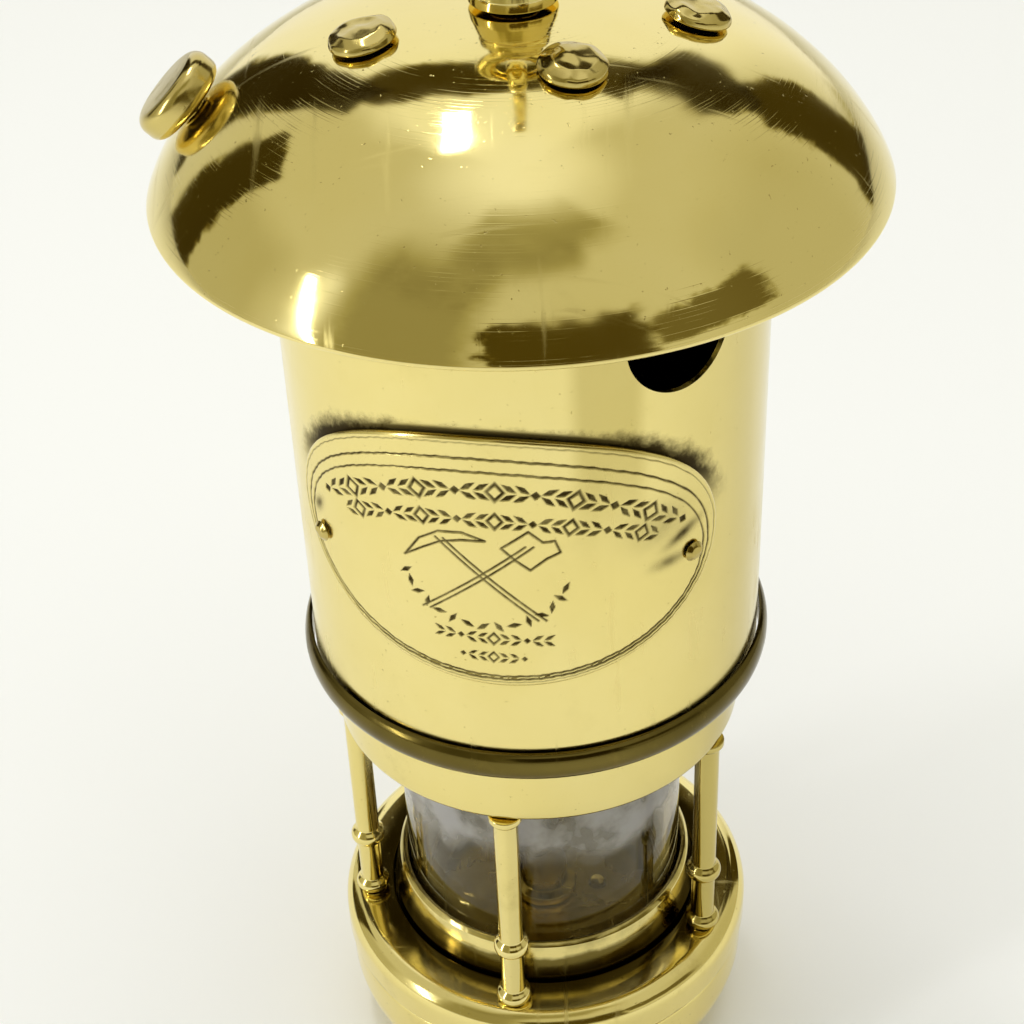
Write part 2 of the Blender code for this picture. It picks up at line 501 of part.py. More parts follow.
def make_swivel():
    base = hood_outline(hood_share(BOSS_HOLE))[1] + GAP
    shank = BOSS_HOLE - GAP
    boss = [(4.4, BOSS_TOP), (5.2, BOSS_TOP - 0.6), (5.2, BOSS_TOP - 2.4), (4.6, BOSS_TOP - 3.0)]
    boss += [(4.9, base + 2.2), (BOSS_RADIUS, base + 1.4), (BOSS_RADIUS, base + 0.2), (shank, base + 0.2)]
    boss += [(shank, BOSS_BOTTOM), (BOSS_BORE, BOSS_BOTTOM), (BOSS_BORE, BOSS_TOP)]
    turned("hood_boss", boss, BRASS, 20)
    nut = rod("boss_nut", NUT_RADIUS, NUT_BOTTOM, NUT_TOP, BRASS, 6)
    cut(nut, rod("cut_nut_bore", BOSS_HOLE, NUT_BOTTOM - 1.0, NUT_TOP + 1.0, BRASS, COARSE, CUTTERS))

    top, seat, under = EYE_Z - EYE_RADIUS, BOSS_TOP + GAP, BOSS_BOTTOM - GAP
    stem = [(0.0, top), (2.6, top), (4.2, seat + 0.9), (4.2, seat), (STEM_RADIUS, seat), (STEM_RADIUS, under)]
    stem += [(STEM_FOOT, under), (STEM_FOOT, under - 1.3), (STEM_FOOT - 0.8, under - 1.9), (0.0, under - 1.9)]
    stem = turned("hook_swivel", stem, BRASS, 16)
    bpy.ops.mesh.primitive_torus_add(
        major_segments=20, minor_segments=8, major_radius=EYE_RADIUS * MM, minor_radius=EYE_WIRE * MM
    )
    eye = bpy.context.object
    eye.name = "join_eye"
    eye.data.materials.append(BRASS)
    for collection in list(eye.users_collection):
        collection.objects.unlink(eye)
    CUTTERS.objects.link(eye)
    eye.hide_render = True
    eye.display_type = "WIRE"
    place(eye, (0.0, 0.0, EYE_Z * MM), (0.0, 1.0, 0.0))
    combine(stem, eye, "UNION")


def make_hook():
    """One wire: a small loop round the eye, a shank that swings out, and a bow over the top."""
    pivot = EYE_Z + EYE_RADIUS
    route = arc((0.0, pivot), HOOK_LOOP, 110, 360, 12)
    start, end = Vector(route[-1]), Vector((HOOK_BOW, HOOK_BOW_Z))
    lean = Vector((0.0, (end.y - start.y) * 0.4))
    for step in range(1, 7):
        t = step / 7
        early = start * (1 - t) ** 3 + (start + lean) * 3 * t * (1 - t) ** 2
        route.append(early + (end - lean) * 3 * t * t * (1 - t) + end * t**3)
    route += arc((0.0, HOOK_BOW_Z), HOOK_BOW, 0, 208, 14)
    wire = bpy.data.curves.new("hook", "CURVE")
    wire.dimensions = "3D"
    wire.bevel_depth = HOOK_WIRE * MM
    wire.bevel_resolution = 2
    wire.use_fill_caps = True
    spline = wire.splines.new("POLY")
    spline.points.add(len(route) - 1)
    for point, (across, height) in zip(spline.points, route):
        point.co = (0.0, across * MM, (height - pivot) * MM, 1.0)
    hook = add("hook", wire, BRASS)
    hook.location = (0.0, 0.0, pivot * MM)


make_fuel_vessel()
make_vessel_fittings()
make_wick_gear()
make_cage()
make_glass()
make_gauzes()
make_bonnet()
make_hood()
make_swivel()
make_hook()
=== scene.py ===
"""The looks of the brass miner's safety lamp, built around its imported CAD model.

Lengths are millimetres in the tables below and metres on the objects and in the materials. Azimuths are
degrees about Z, from the front (-Y) towards +X. The fine pieces repeat the CAD profiles with more segments,
rounded edges and soft wear.
"""

import json
import math

import bpy
import numpy as np
from mathutils import Matrix, Vector, noise


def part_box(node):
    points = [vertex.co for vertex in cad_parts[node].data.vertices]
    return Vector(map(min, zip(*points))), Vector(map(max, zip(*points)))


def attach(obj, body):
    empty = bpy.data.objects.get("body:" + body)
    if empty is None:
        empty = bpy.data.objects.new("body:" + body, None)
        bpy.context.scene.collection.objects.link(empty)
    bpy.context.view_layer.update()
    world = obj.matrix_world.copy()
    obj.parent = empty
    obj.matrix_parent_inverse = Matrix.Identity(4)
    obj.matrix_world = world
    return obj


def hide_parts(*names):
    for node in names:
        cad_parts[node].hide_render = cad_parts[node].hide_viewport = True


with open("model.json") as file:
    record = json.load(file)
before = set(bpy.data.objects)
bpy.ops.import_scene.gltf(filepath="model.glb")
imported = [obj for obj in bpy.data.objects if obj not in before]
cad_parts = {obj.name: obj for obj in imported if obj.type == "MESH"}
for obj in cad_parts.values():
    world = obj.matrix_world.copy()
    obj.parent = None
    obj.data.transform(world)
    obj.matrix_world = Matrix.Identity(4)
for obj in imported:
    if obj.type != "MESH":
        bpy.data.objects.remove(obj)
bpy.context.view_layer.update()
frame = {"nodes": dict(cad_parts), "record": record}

MM = 0.001
GAP = 0.3
BROAD, ROUND, SMALL, TINY = 240, 192, 96, 48  # segments round most turned pieces, from wide to narrow ones
SHARP = 32.0  # edges that turn by more degrees than this stay crisp


# -------- sizes, from the frame where it holds them

def low(node):
    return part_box(node)[0] / MM


def high(node):
    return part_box(node)[1] / MM


HOOD_RADIUS = high("hood").x
HOOD_RIM_Z = low("hood").z
HOOD_HEIGHT = 25.2
HOOD_THICKNESS = 1.0
HOOD_HOLE = 3.8
SIDE_CURVE, CROWN_CURVE = 0.70, 1.59  # the powers in the hood's outline
RIVETS = ((-67.5, 21.2), (20.0, 20.8), (83.5, 24.2), (156.0, 22.4), (228.0, 21.8))  # azimuth and circle
KNOCKS = (  # azimuth, circle, width and depth of the knocks in the hood
    (-28.0, 33.0, 6.0, 0.14),
    (12.0, 38.0, 5.0, 0.12),
    (40.0, 30.0, 8.0, 0.12),
    (170.0, 36.0, 6.0, 0.15),
)
KNOB_CIRCLE, KNOB_AZIMUTH = 44.1, -90.0
BONNET_RADIUS = 35.9
BONNET_WALL = 0.8
BONNET_BOTTOM, BONNET_TOP = low("bonnet").z, high("bonnet").z
VENT_RADIUS, VENT_Z, FIRST_VENT = 8.9, 157.0, 35.5
BADGE_LENGTH, BADGE_HEIGHT, BADGE_THICKNESS = 68.0, 43.0, 0.8
BADGE_AZIMUTH, BADGE_Z, BADGE_TILT = -8.5, 124.5, -2.5
BADGE_RIVET_OFFSET, BADGE_RIVET_Z = 29.0, 121.0
BADGE_BACK = BONNET_RADIUS + GAP
BADGE_FACE = BADGE_BACK + BADGE_THICKNESS
CAGE_RADIUS, CAGE_BORE = 36.0, 27.3
CAGE_BOTTOM, CAGE_FLOOR = low("cage_lower_ring").z, high("cage_lower_ring").z
TOP_RING_BOTTOM = low("cage_top_ring").z
PILLAR_CIRCLE, FIRST_PILLAR = 31.0, -11.0
LOCK_SCREW_Z = 23.6
GLASS_RADIUS, GLASS_BORE, GLASS_BOTTOM, GLASS_TOP = 24.0, 21.5, 29.0, 78.0
VESSEL_RADIUS, FOOT_RADIUS, VESSEL_WALL = 35.5, 30.0, 1.5
VESSEL_TOP, NECK_RADIUS, NECK_TOP = 19.7, 26.9, high("fuel_vessel").z
SPINDLE_X = 9.5
EYE_Z, EYE_RADIUS, EYE_WIRE = 207.4, 5.0, 1.6
HOOK_WIRE, HOOK_LOOP, HOOK_BOW, HOOK_BOW_Z = 1.7, 4.2, 13.0, 238.0
BOSS_TOP = high("hood_boss").z


# -------- shapes

def around(azimuth, radius, height=0.0):
    angle = math.radians(azimuth)
    return Vector((radius * math.sin(angle), -radius * math.cos(angle), height)) * MM


def outward(azimuth):
    return around(azimuth, 1.0).normalized()


def facing(point, direction):
    """The matrix that puts a piece at the point with its own Z along the direction."""
    return Matrix.Translation(point) @ Vector(direction).to_track_quat("Z", "Y").to_matrix().to_4x4()


def sideways(azimuth, height):
    """The matrix that puts a piece's own Z along a radius of the lamp, at a height."""
    return facing((0.0, 0.0, height * MM), outward(azimuth))


def rotation(angle, axis):
    return Matrix.Rotation(math.radians(angle), 4, axis)


def arc(centre, radius, start, end, count):
    angles = np.radians(np.linspace(start, end, count))
    return [(centre[0] + radius * math.cos(a), centre[1] + radius * math.sin(a)) for a in angles]


def swell(radius, middle, bulge, half, start, end, count):
    """A rounded swelling on a stem or a wall: how far it bulges, and half its height."""
    return [(radius + bulge * r, middle + half * z) for r, z in arc((0.0, 0.0), 1.0, start, end, count)]


def plain(points):
    """The points as corners without fillets."""
    return [(radius, height, 0) for radius, height in points]


def rounded(corners, steps=5):
    """A closed outline from (radius, height, fillet) corners, with each fillet as an arc."""
    outline = []
    for before, corner, after in zip(corners[-1:] + corners[:-1], corners, corners[1:] + corners[:1]):
        here, fillet = Vector(corner[:2]), corner[2]
        back, on = Vector(before[:2]) - here, Vector(after[:2]) - here
        if fillet <= 0 or back.length < 1e-6 or on.length < 1e-6:
            outline.append(tuple(here))
            continue
        half = back.angle(on) / 2
        reach = min(fillet / math.tan(half), back.length * 0.48, on.length * 0.48)
        radius = reach * math.tan(half)
        middle = here + (back.normalized() + on.normalized()).normalized() * (radius / math.sin(half))
        first, last = here + back.normalized() * reach, here + on.normalized() * reach
        a0 = math.atan2(first.y - middle.y, first.x - middle.x)
        turn = math.atan2(last.y - middle.y, last.x - middle.x) - a0
        turn = (turn + math.pi) % (2 * math.pi) - math.pi
        for i in range(steps + 1):
            a = a0 + turn * i / steps
            outline.append((middle.x + radius * math.cos(a), middle.y + radius * math.sin(a)))
    return outline


def solid(corners, steps=5):
    """As rounded, for a solid piece whose outline starts and ends on the axis."""
    return [(max(radius, 0.0), height) for radius, height in rounded(corners, steps)]


def dense(outline, longest):
    """The closed outline with its long runs cut into pieces no longer than this."""
    out = []
    for a, b in zip(outline, outline[1:] + outline[:1]):
        a, b = Vector(a), Vector(b)
        pieces = max(1, math.ceil((b - a).length / longest))
        if a.x < 1e-6 and b.x < 1e-6:
            pieces = 1
        out += [tuple(a.lerp(b, i / pieces)) for i in range(pieces)]
    return out


def linked(name, data):
    obj = bpy.data.objects.new(name, data)
    bpy.context.scene.collection.objects.link(obj)
    return obj


def mesh_object(name, points, faces, sharp=SHARP):
    mesh = bpy.data.meshes.new(name)
    mesh.from_pydata([tuple(p) for p in points], [], faces)
    mesh.update()
    mesh.shade_smooth()
    mesh.set_sharp_from_angle(angle=math.radians(sharp))
    return linked(name, mesh)


def lathe(name, outline, segments=ROUND, sharp=SHARP):
    """A closed outline of (radius, height) turned about Z. It runs down the outer side."""
    angles = np.arange(segments) * 2 * math.pi / segments
    points, rings = [], []
    for radius, height in outline:
        if radius < 1e-6:
            rings.append([len(points)])
            points.append((0.0, 0.0, height * MM))
        else:
            rings.append(list(range(len(points), len(points) + segments)))
            points += [(radius * MM * math.cos(a), radius * MM * math.sin(a), height * MM) for a in angles]
    faces = []
    for upper, lower in zip(rings, rings[1:] + rings[:1]):
        if len(upper) == 1 and len(lower) == 1:
            continue
        for j in range(segments):
            k = (j + 1) % segments
            if len(upper) == 1:
                faces.append((upper[0], lower[j], lower[k]))
            elif len(lower) == 1:
                faces.append((upper[j], lower[0], upper[k]))
            else:
                faces.append((upper[j], lower[j], lower[k], upper[k]))
    return mesh_object(name, points, faces, sharp)


def sweep(name, path, radius_at, sides=20, closed=False):
    """A round wire along a path in the YZ plane; radius_at gives its radius by the share of its length."""
    path = [Vector((0.0, p[0], p[1])) for p in path]
    runs = [0.0]
    for a, b in zip(path, path[1:]):
        runs.append(runs[-1] + (b - a).length)
    points, count = [], len(path)
    for i, point in enumerate(path):
        before = path[i - 1] if closed or i else point
        after = path[(i + 1) % count] if closed or i < count - 1 else point
        along = (after - before).normalized()
        side = Vector((1.0, 0.0, 0.0))
        up = side.cross(along)
        radius = radius_at(runs[i] / runs[-1])
        for j in range(sides):
            a = 2 * math.pi * j / sides
            points.append((point + (side * math.cos(a) + up * math.sin(a)) * radius) * MM)
    faces = []
    for i in range(count if closed else count - 1):
        n = (i + 1) % count
        for j in range(sides):
            k = (j + 1) % sides
            faces.append((i * sides + j, i * sides + k, n * sides + k, n * sides + j))
    if not closed:
        faces.append(tuple(range(sides - 1, -1, -1)))
        faces.append(tuple(range((count - 1) * sides, count * sides)))
    return mesh_object(name, points, faces, 60.0)


def displaced(obj, shift):
    """Moves each point of the mesh by shift(point in mm, normal), in mm along the normal."""
    normals = [v.normal.copy() for v in obj.data.vertices]
    for vertex, normal in zip(obj.data.vertices, normals):
        vertex.co += normal * (shift(vertex.co / MM, normal) * MM)
    obj.data.update()
    return obj


def boolean(obj, other, operation="DIFFERENCE"):
    """Applies a Boolean with another object, which is then removed."""
    modifier = obj.modifiers.new("Boolean", "BOOLEAN")
    modifier.operation = operation
    modifier.solver = "EXACT"
    modifier.object = other
    bpy.context.view_layer.update()
    evaluated = obj.evaluated_get(bpy.context.evaluated_depsgraph_get())
    mesh = bpy.data.meshes.new_from_object(evaluated)
    obj.modifiers.clear()
    old, obj.data = obj.data, mesh
    bpy.data.meshes.remove(old)
    bpy.data.objects.remove(other, do_unlink=True)
    mesh.shade_smooth()
    mesh.set_sharp_from_angle(angle=math.radians(SHARP))
    return obj


def moved(obj, matrix):
    obj.data.transform(matrix)
    obj.data.update()
    return obj


def drill(name, radius, start, end, matrix, segments=TINY):
    return moved(lathe(name, [(0.0, end), (radius, end), (radius, start), (0.0, start)], segments), matrix)


def wobble(point, scale, seed):
    """Smooth noise from -1 to 1 that changes over about scale mm."""
    return noise.noise(Vector(point) / scale + Vector((seed * 7.3, seed * 3.1, seed * 5.7)))


# -------- materials

class Field:
    """A number or colour that varies over a surface or the sky: a shader node's output, with arithmetic."""

    def __init__(self, tree, socket):
        self.tree = tree
        self.socket = socket

    def __add__(self, other):
        return calc(self.tree, "ADD", self, other)

    def __sub__(self, other):
        return calc(self.tree, "SUBTRACT", self, other)

    def __rsub__(self, other):
        return calc(self.tree, "SUBTRACT", other, self)

    def __mul__(self, other):
        return calc(self.tree, "MULTIPLY", self, other)

    def __truediv__(self, other):
        return calc(self.tree, "DIVIDE", self, other)

    def __abs__(self):
        return calc(self.tree, "ABSOLUTE", self)


def put(value, socket, tree):
    """Links a field to a socket, or sets the socket to a number or a colour."""
    if isinstance(value, Field):
        tree.links.new(value.socket, socket)
    elif isinstance(value, tuple):
        socket.default_value = (*value, 1.0)
    else:
        socket.default_value = value


def calc(tree, operation, *values):
    made = tree.nodes.new("ShaderNodeMath")
    made.operation = operation
    for socket, value in zip(made.inputs, values):
        put(value, socket, tree)
    return Field(tree, made.outputs[0])


def larger(first, second):
    return calc(first.tree, "MAXIMUM", first, second)


def remap(value, start, end, first=0.0, last=1.0):
    """Takes start to first and end to last, smoothly, and stays level outside them."""
    made = value.tree.nodes.new("ShaderNodeMapRange")
    made.interpolation_type = "SMOOTHSTEP"
    for name, number in (("From Min", start), ("From Max", end), ("To Min", first), ("To Max", last)):
        made.inputs[name].default_value = number
    put(value, made.inputs["Value"], value.tree)
    return Field(value.tree, made.outputs["Result"])


def mix_colour(factor, first, second):
    made = factor.tree.nodes.new("ShaderNodeMix")
    made.data_type = "RGBA"
    for number, value in ((0, factor), (6, first), (7, second)):
        put(value, made.inputs[number], factor.tree)
    return Field(factor.tree, made.outputs[2])


def bump(height, distance, before=None):
    made = height.tree.nodes.new("ShaderNodeBump")
    made.inputs["Strength"].default_value = 1.0
    made.inputs["Distance"].default_value = distance
    put(height, made.inputs["Height"], height.tree)
    if before is not None:
        put(before, made.inputs["Normal"], height.tree)
    return Field(height.tree, made.outputs["Normal"])


def position(tree, kind="Object"):
    """The point on the object as separate X, Y and Z, in metres, or another of the texture coordinates."""
    coords = tree.nodes.new("ShaderNodeTexCoord")
    split = tree.nodes.new("ShaderNodeSeparateXYZ")
    tree.links.new(coords.outputs[kind], split.inputs[0])
    return [Field(tree, socket) for socket in split.outputs]


def from_axis(x, y):
    return calc(x.tree, "SQRT", x * x + y * y)


def bearing_of(x, y):
    """The azimuth in radians: 0 at the front, growing to the right."""
    return calc(x.tree, "ARCTAN2", x, y * -1.0)


def noise_field(tree, scale, detail=3.0, stretch=(1.0, 1.0, 1.0), turn=(0.0, 0.0, 0.0), roughness=0.55,
                kind="Object"):
    """Noise on the object's own coordinates, with scale in features per metre, or on another kind."""
    coords = tree.nodes.new("ShaderNodeTexCoord")
    mapping = tree.nodes.new("ShaderNodeMapping")
    mapping.inputs["Scale"].default_value = stretch
    mapping.inputs["Rotation"].default_value = turn
    tree.links.new(coords.outputs[kind], mapping.inputs["Vector"])
    texture = tree.nodes.new("ShaderNodeTexNoise")
    for name, number in (("Scale", scale), ("Detail", detail), ("Roughness", roughness)):
        texture.inputs[name].default_value = number
    tree.links.new(mapping.outputs["Vector"], texture.inputs["Vector"])
    return Field(tree, texture.outputs["Fac"])


def shader(name, colour, roughness, metallic):
    material = bpy.data.materials.new(name)
    material.use_nodes = True
    tree = material.node_tree
    bsdf = tree.nodes["Principled BSDF"]
    bsdf.inputs["Base Color"].default_value = (*colour, 1.0)
    bsdf.inputs["Roughness"].default_value = roughness
    bsdf.inputs["Metallic"].default_value = metallic
    return material, tree, bsdf


def dress(bsdf, colour, rough, normal):
    """Links what varies over the surface to the shader."""
    for name, value in (("Base Color", colour), ("Roughness", rough), ("Normal", normal)):
        put(value, bsdf.inputs[name], value.tree)


POLISHED = ((0.885, 0.755, 0.315), (0.85, 0.715, 0.27))
DULLED = ((0.70, 0.57, 0.20), (0.50, 0.395, 0.115))
# dark brown: the bead's painted dark reflection, and the darker brown drawn over the glass seat and the
# cage's lower ring
DARK_BROWN_TONES = ((0.17, 0.13, 0.032), (0.10, 0.075, 0.016))
SOOTED = ((0.58, 0.45, 0.13), (0.15, 0.105, 0.020))
TARNISH = (0.36, 0.26, 0.06)
# the tone of the painted shade and painted reflection on the bonnet, badge and cage
PAINTED_SHADE_TONE = (0.50, 0.40, 0.11)
SOOT = (0.055, 0.038, 0.010)
CLEAR_GLASS = (0.88, 0.88, 0.87)
# pale grey of the painted reflection on the glass's upper half
PAINTED_REFLECTION_GREY = (0.42, 0.415, 0.47)


def brass(name, roughness=0.09, tarnish=0.15, dents=0.00004, dark=None, darkening=None, tones=POLISHED, spun=0.0,
          darker_tone=PAINTED_SHADE_TONE):
    """Brass: drift between two tones, tarnish in patches, pits, hairlines in two directions and soft dents.

    dark and darkening may be functions of the tree that say, from 0 to 1, where heavy stain lies and where
    the colour is drawn towards darker_tone. That darkening is painted shade and painted reflection on the
    bonnet, badge and cage, and a plain darker brown on the glass seat and the cage's lower ring.
    spun is the depth of the turning marks round the axis.
    """
    material, tree, bsdf = shader(name, tones[0], roughness, 1.0)
    drift = remap(noise_field(tree, 28.0, 4.0), 0.35, 0.68)
    patches = remap(noise_field(tree, 75.0, 6.0, roughness=0.68), 0.56, 0.78, 0.0, tarnish)
    pits = remap(noise_field(tree, 1500.0, 2.0), 0.70, 0.78)
    colour = mix_colour(drift, *tones)
    colour = mix_colour(patches, colour, TARNISH)
    colour = mix_colour(pits * 0.55, colour, TARNISH)
    hair_a = remap(noise_field(tree, 420.0, 3.0, (1.0, 0.06, 0.10), (0.4, 0.2, 0.9)), 0.60, 0.74)
    hair_b = remap(noise_field(tree, 520.0, 3.0, (0.08, 1.0, 0.07), (0.1, 0.7, 0.3)), 0.62, 0.76)
    hairlines = larger(hair_a, hair_b)
    wiped = remap(noise_field(tree, 60.0, 5.0), 0.3, 0.75, roughness * 0.55, roughness * 1.7)
    rough = wiped + hairlines * 0.14 + patches * 0.5
    # the darkening: painted shade and painted reflection on some pieces, a plain darker brown on others
    if darkening is not None:
        colour = mix_colour(darkening(tree), colour, darker_tone)
    if dark is not None:
        stain = dark(tree)
        colour = mix_colour(stain, colour, SOOT)
        rough = rough + stain * 0.45
    normal = bump(noise_field(tree, 55.0, 2.0), dents)
    normal = bump(hairlines, -0.0000025, normal)
    normal = bump(pits, -0.00001, normal)
    if spun > 0:
        normal = bump(turning_marks(tree), spun, normal)
    dress(bsdf, colour, rough, normal)
    return material


def turning_marks(tree):
    """Fine rings round the axis, from noise along the radius, that fade in and out round the piece."""
    x, y, z = position(tree)
    rings = tree.nodes.new("ShaderNodeTexNoise")
    rings.noise_dimensions = "1D"
    rings.inputs["Scale"].default_value = 2600.0
    rings.inputs["Detail"].default_value = 4.0
    put(from_axis(x, y) - z, rings.inputs["W"], tree)
    seen = remap(noise_field(tree, 90.0, 3.0), 0.42, 0.62, 0.15, 1.0)
    return remap(Field(tree, rings.outputs["Fac"]), 0.55, 0.75) * seen


def badge_field(tree):
    """Distance in mm outside the badge's oval, and the place along and up it, on the bonnet's own surface."""
    x, y, z = position(tree)
    along = (bearing_of(x, y) - math.radians(BADGE_AZIMUTH)) * BONNET_RADIUS
    up = z * (1.0 / MM) - BADGE_Z
    tilt = math.radians(-BADGE_TILT)
    turned_x = along * math.cos(tilt) - up * math.sin(tilt)
    turned_y = along * math.sin(tilt) + up * math.cos(tilt)
    reach = from_axis(turned_x * (2.0 / BADGE_LENGTH), turned_y * (2.0 / BADGE_HEIGHT))
    return (reach - 1.0) * (BADGE_HEIGHT / 2), turned_x, turned_y


def solder_stain(tree):
    """Flux and soot left round the badge, along its top and thickest at the corners, ragged outwards."""
    distance, along, up = badge_field(tree)
    ragged = noise_field(tree, 190.0, 7.0, roughness=0.72) * 5.0
    corner = remap(abs(along + 1.0), 9.0, 25.0, 0.0, 1.2)
    edge = remap(distance + ragged - corner, 1.6, 4.2, 1.0, 0.0)
    close = remap(distance, 0.4, 1.3, 0.9, 0.0)
    return larger(edge, close) * remap(up, 1.0, 11.0, 0.03, 1.0)


def painted_right_shade(tree, most=0.75):
    """Painted shade on the lamp's right side: the brass there is drawn darker, up to most."""
    x, y = position(tree)[:2]
    return remap(abs(bearing_of(x, y) - 1.25), 0.1, 0.95, most, 0.0)


def painted_reflection_and_shade(tree):
    """Painted reflection: a soft dark band up the bonnet, right of the badge's middle, for a dark thing it
    reflects; and painted shade on its right side.
    """
    x, y, z = position(tree)
    off = abs(bearing_of(x, y) - math.radians(17.0))
    band = remap(off + noise_field(tree, 60.0, 4.0) * 0.06, 0.12, 0.21, 1.0, 0.0)
    # painted reflection: the dark band, strongest high on the bonnet
    painted_band = band * remap(z, 0.118, 0.146) * 0.55
    return larger(painted_band, painted_right_shade(tree, 0.5))


def low_darkening(tree, height, radius):
    """A mask of where the brass is drawn darker brown: below a height, or within a radius of the axis, both
    in metres and with soft edges.
    """
    x, y, z = position(tree)
    uneven = (noise_field(tree, 160.0, 4.0) - 0.5) * 0.003
    below = remap(z + uneven, height - 0.0006, height + 0.0006, 1.0, 0.0)
    within = remap(from_axis(x, y) + uneven, radius - 0.0008, radius + 0.0016, 1.0, 0.0)
    return larger(below, within)


def seat_darkening(tree):
    return low_darkening(tree, 0.0322, 0.0248)


def channel_darkening(tree):
    return low_darkening(tree, CAGE_BOTTOM * MM, 0.0302)


def soot_inside(tree):
    """Soot on the surfaces that face the lamp's axis."""
    x, y = position(tree)[:2]
    normal_x, normal_y = position(tree, "Normal")[:2]
    facing_out = (x * normal_x + y * normal_y) / from_axis(x, y)
    return remap(facing_out, -0.15, -0.6, 0.0, 0.93)


def bonnet_stain(tree):
    return larger(solder_stain(tree), soot_inside(tree))


def engraved_fill(tree):
    """Dark wax in the badge's engraving, from the mesh's own attribute."""
    attribute = tree.nodes.new("ShaderNodeAttribute")
    attribute.attribute_name = "engraved"
    worn = remap(noise_field(tree, 500.0, 4.0), 0.30, 0.62, 0.78, 1.0)
    return Field(tree, attribute.outputs["Fac"]) * worn


def make_glass():
    """Clear, slightly wavy glass, tinted through its thickness, with a painted reflection in its upper half:
    patches of pale grey film that stand in for bright things the glass reflects.
    """
    material, tree, bsdf = shader("glass_chimney_look", CLEAR_GLASS, 0.02, 0.0)
    bsdf.inputs["IOR"].default_value = 1.48
    bsdf.inputs["Specular IOR Level"].default_value = 0.3
    bsdf.inputs["Specular Tint"].default_value = (0.95, 0.80, 0.42, 1.0)
    height = position(tree)[2] + (noise_field(tree, 55.0, 5.0) - 0.5) * 0.020
    patchy = remap(noise_field(tree, 95.0, 4.0), 0.36, 0.62, 0.12, 0.80)
    # painted reflection: a patchy pale grey film, less clear, high on the glass
    painted_reflection_film = remap(height, 0.050, 0.057) * patchy
    put(1.0 - painted_reflection_film, bsdf.inputs["Transmission Weight"], tree)
    waves = noise_field(tree, 70.0, 2.0, (1.0, 1.0, 0.35))
    dress(bsdf, mix_colour(painted_reflection_film, CLEAR_GLASS, PAINTED_REFLECTION_GREY), painted_reflection_film * 0.30 + 0.02, bump(waves, 0.00006))
    body = tree.nodes.new("ShaderNodeVolumeAbsorption")
    body.inputs["Density"].default_value = 230.0
    body.inputs["Color"].default_value = (0.56, 0.48, 0.28, 1.0)
    tree.links.new(body.outputs["Volume"], tree.nodes["Material Output"].inputs["Volume"])
    return material


def make_gauze():
    """Woven iron wire: two families of ridges, with rust, and painted shade, near black, in the grooves
    between them.
    """
    material, tree, bsdf = shader("iron_gauze_look", (0.10, 0.085, 0.07), 0.5, 0.85)
    x, y, z = position(tree)
    weave = calc(tree, "SINE", calc(tree, "ARCTAN2", x, y) * 100.0) * calc(tree, "SINE", z * 5500.0)
    rust = remap(noise_field(tree, 140.0, 6.0), 0.45, 0.7)
    wire = mix_colour(rust, (0.13, 0.115, 0.10), (0.16, 0.07, 0.03))
    # painted shade: near black where the weave is low, in the grooves between the wires
    colour = mix_colour(remap(weave, -0.2, 0.5, 1.0, 0.0), wire, (0.01, 0.009, 0.008))
    dress(bsdf, colour, remap(rust, 0.0, 1.0, 0.38, 0.8), bump(weave, 0.00015))
    return material


def make_board():
    """Dull fibrous gasket board."""
    material, tree, bsdf = shader("gasket_board_look", (0.30, 0.25, 0.18), 0.85, 0.0)
    fibres = noise_field(tree, 420.0, 6.0, roughness=0.7)
    colour = mix_colour(remap(fibres, 0.35, 0.65), (0.30, 0.25, 0.18), (0.17, 0.14, 0.10))
    dress(bsdf, colour, remap(fibres, 0.3, 0.7, 0.7, 0.95), bump(fibres, 0.00012))
    return material


def make_cotton():
    """A plaited wick, charred at its top, with painted shade in the grooves between its strands."""
    material, tree, bsdf = shader("cotton_wick_look", (0.8, 0.75, 0.62), 0.9, 0.0)
    x, y, z = position(tree)
    azimuth = calc(tree, "ARCTAN2", x, y) * 6.0
    rise = z * 3200.0
    plait = calc(tree, "SINE", azimuth + rise) * calc(tree, "SINE", azimuth - rise)
    # painted shade: darker where the plait is low, in the grooves between the strands
    colour = mix_colour(remap(plait, -0.4, 0.4), (0.52, 0.46, 0.34), (0.82, 0.78, 0.66))
    charred = remap(z + noise_field(tree, 500.0) * 0.0018, 0.0408, 0.0425)
    colour = mix_colour(charred, colour, (0.012, 0.010, 0.009))
    dress(bsdf, colour, remap(plait, -1.0, 1.0, 0.82, 0.97), bump(plait, 0.0003))
    return material


BRASS = brass("polished_brass_look")
HOOD_BRASS = brass("hood_brass_look", roughness=0.075, tarnish=0.07, dents=0.00012, spun=0.000004)
# bonnet and badge: a painted reflection band, and painted shade on their right side
BONNET_BRASS = brass("bonnet_brass_look", 0.16, 0.08, 0.00002, bonnet_stain, painted_reflection_and_shade)
BADGE_BRASS = brass("badge_brass_look", 0.17, 0.10, 0.00002, engraved_fill, painted_reflection_and_shade)
WORN_BRASS = brass("worn_brass_look", roughness=0.13, tarnish=0.55, dents=0.00008, tones=DULLED)
# the bead's dark brown brass is a painted reflection of the dark surroundings
BEAD_PAINTED_DARK = brass("bead_painted_dark_reflection_look", roughness=0.17, tarnish=0.40, tones=DARK_BROWN_TONES)
SEAT_BRASS = brass("glass_seat_look", roughness=0.12, tarnish=0.45, darkening=seat_darkening, darker_tone=DARK_BROWN_TONES[0])
RING_BRASS = brass("cage_ring_look", roughness=0.10, tarnish=0.25, darkening=channel_darkening, darker_tone=DARK_BROWN_TONES[0])
